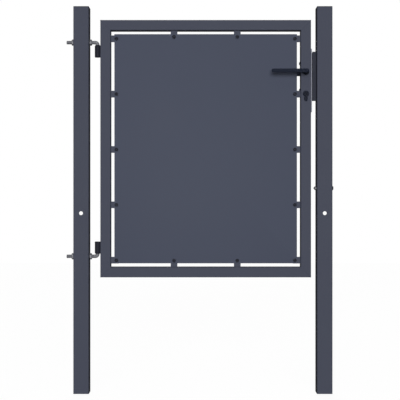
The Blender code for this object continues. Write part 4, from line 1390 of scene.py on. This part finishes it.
@dataclass
class Studio:
    """A pale floor and backdrop, soft light and the camera.

    Attributes:
        distance: From the camera to the posts' front faces.
        height: Of the camera, at the middle of the gate.
        lens_mm: Focal length on a 36 mm sensor.
        key: Strength of the front light, in watts per square metre.
        key_angle_deg: How wide that light looks; the wider, the softer its shadows.
        rear_share: Strength of the rear light, as a share of the front one.
        panel_glow: Brightness of the box in front, for the sheen, where 1 is white.
        high_glow: The same of the box above.
        surround: Brightness that the gate feels all round.
        floor_half: Half the floor's width.
        floor_glow: Light of the floor's own, which evens it out.
    """

    distance: float = 3.85
    height: float = 0.75
    lens_mm: float = 89.64
    key: float = 2.72
    key_angle_deg: float = 32.0
    rear_share: float = 0.8
    panel_glow: float = 0.4
    high_glow: float = 0.8
    surround: float = 0.05
    floor_half: float = 8.0
    floor_glow: float = 0.95

    def build(self) -> None:
        """Make the floor, the backdrop, the lights and the camera."""
        bpy.context.scene.view_settings.view_transform = "Standard"
        self.floor()
        self.world()
        self.sun("front_key", (0.0, -1.0, 0.12), self.key)
        self.sun("rear_key", (0.0, 1.0, 0.3), self.key * self.rear_share)
        self.softbox("front_panel", (0.0, -6.0, 0.75), (3.6, 2.4), self.panel_glow)
        self.softbox("high_panel", (0.0, -2.6, 4.2), (2.6, 1.2), self.high_glow)
        self.camera()

    def floor(self) -> None:
        """A wide pale floor with an even finish, which blocks none of the wide, low light."""
        half = self.floor_half
        mesh = bpy.data.meshes.new("floor")
        mesh.from_pydata([(-half, -half, 0), (half, -half, 0), (half, half, 0), (-half, half, 0)], [],
                         [(0, 1, 2, 3)])
        material = bpy.data.materials.new("pale_floor")
        material.use_nodes = True
        shader = material.node_tree.nodes["Principled BSDF"]
        shader.inputs["Base Color"].default_value = linear("#5c5c5c")
        shader.inputs["Specular IOR Level"].default_value = 0.0
        shader.inputs["Roughness"].default_value = 1.0
        shader.inputs["Emission Color"].default_value = linear("#ffffff")
        shader.inputs["Emission Strength"].default_value = self.floor_glow
        mesh.materials.append(material)
        item = linked("floor", mesh)
        item.visible_diffuse = False
        item.visible_glossy = False
        item.visible_shadow = False

    def world(self) -> None:
        """A white surround for the eye, and a dim one for the light on the gate."""
        white = linear("#ffffff")
        world = bpy.data.worlds.new("studio")
        world.use_nodes = True
        tree = world.node_tree
        tree.nodes.clear()
        seen = add_node(tree, "ShaderNodeBackground", {"Color": white, "Strength": 1.0})
        felt = add_node(tree, "ShaderNodeBackground", {"Color": white, "Strength": self.surround})
        path = add_node(tree, "ShaderNodeLightPath")
        mix = add_node(tree, "ShaderNodeMixShader", {0: path.outputs["Is Camera Ray"], 1: felt.outputs[0],
                                                     2: seen.outputs[0]})
        add_node(tree, "ShaderNodeOutputWorld", {"Surface": mix.outputs[0]})
        bpy.context.scene.world = world

    def sun(self, name: str, source: tuple[float, float, float], strength: float) -> None:
        """An even soft light from far away, which leaves no mirror image of itself.

        Args:
            name: Of the light.
            source: The direction it comes from.
            strength: Watts per square metre.
        """
        light = bpy.data.lights.new(name, "SUN")
        light.energy = strength
        light.angle = math.radians(self.key_angle_deg)
        item = linked(name, light)
        item.rotation_euler = Vector(source).to_track_quat("Z", "Y").to_euler()
        item.visible_glossy = False

    def softbox(self, name: str, place: tuple[float, float, float], size: tuple[float, float],
                glow: float) -> None:
        """A rectangular soft light that faces the middle of the gate.

        Its power is the glow times pi times its area.

        Args:
            name: Of the light.
            place: Where it stands.
            size: Width and height.
            glow: Brightness of its face, where 1 is white.
        """
        light = bpy.data.lights.new(name, "AREA")
        light.shape = "RECTANGLE"
        light.size, light.size_y = size
        light.energy = glow * math.pi * size[0] * size[1]
        item = linked(name, light)
        item.location = place
        look = np.array([0.0, 0.0, self.height]) - np.array(place)
        item.rotation_euler = Vector(look).to_track_quat("-Z", "Y").to_euler()

    def camera(self) -> None:
        """A long lens straight in front, level with the middle of the gate."""
        lens = bpy.data.cameras.new("camera")
        lens.lens = self.lens_mm
        lens.sensor_width = 36.0
        item = linked("camera", lens)
        item.location = (0.0, block("hinge_post").low[1] - self.distance, self.height)
        item.rotation_euler = (math.pi / 2, 0.0, 0.0)
        bpy.context.scene.camera = item


def main() -> None:
    """Build the gate's looks."""
    logging.basicConfig(level=logging.INFO, format="%(message)s")
    for assembly in (Studio(), Posts(), HookHinges(), Leaf(), Lock(), Keep()):
        LOG.info("-- %s", type(assembly).__name__)
        assembly.build()


if __name__ == "__main__":
    main()
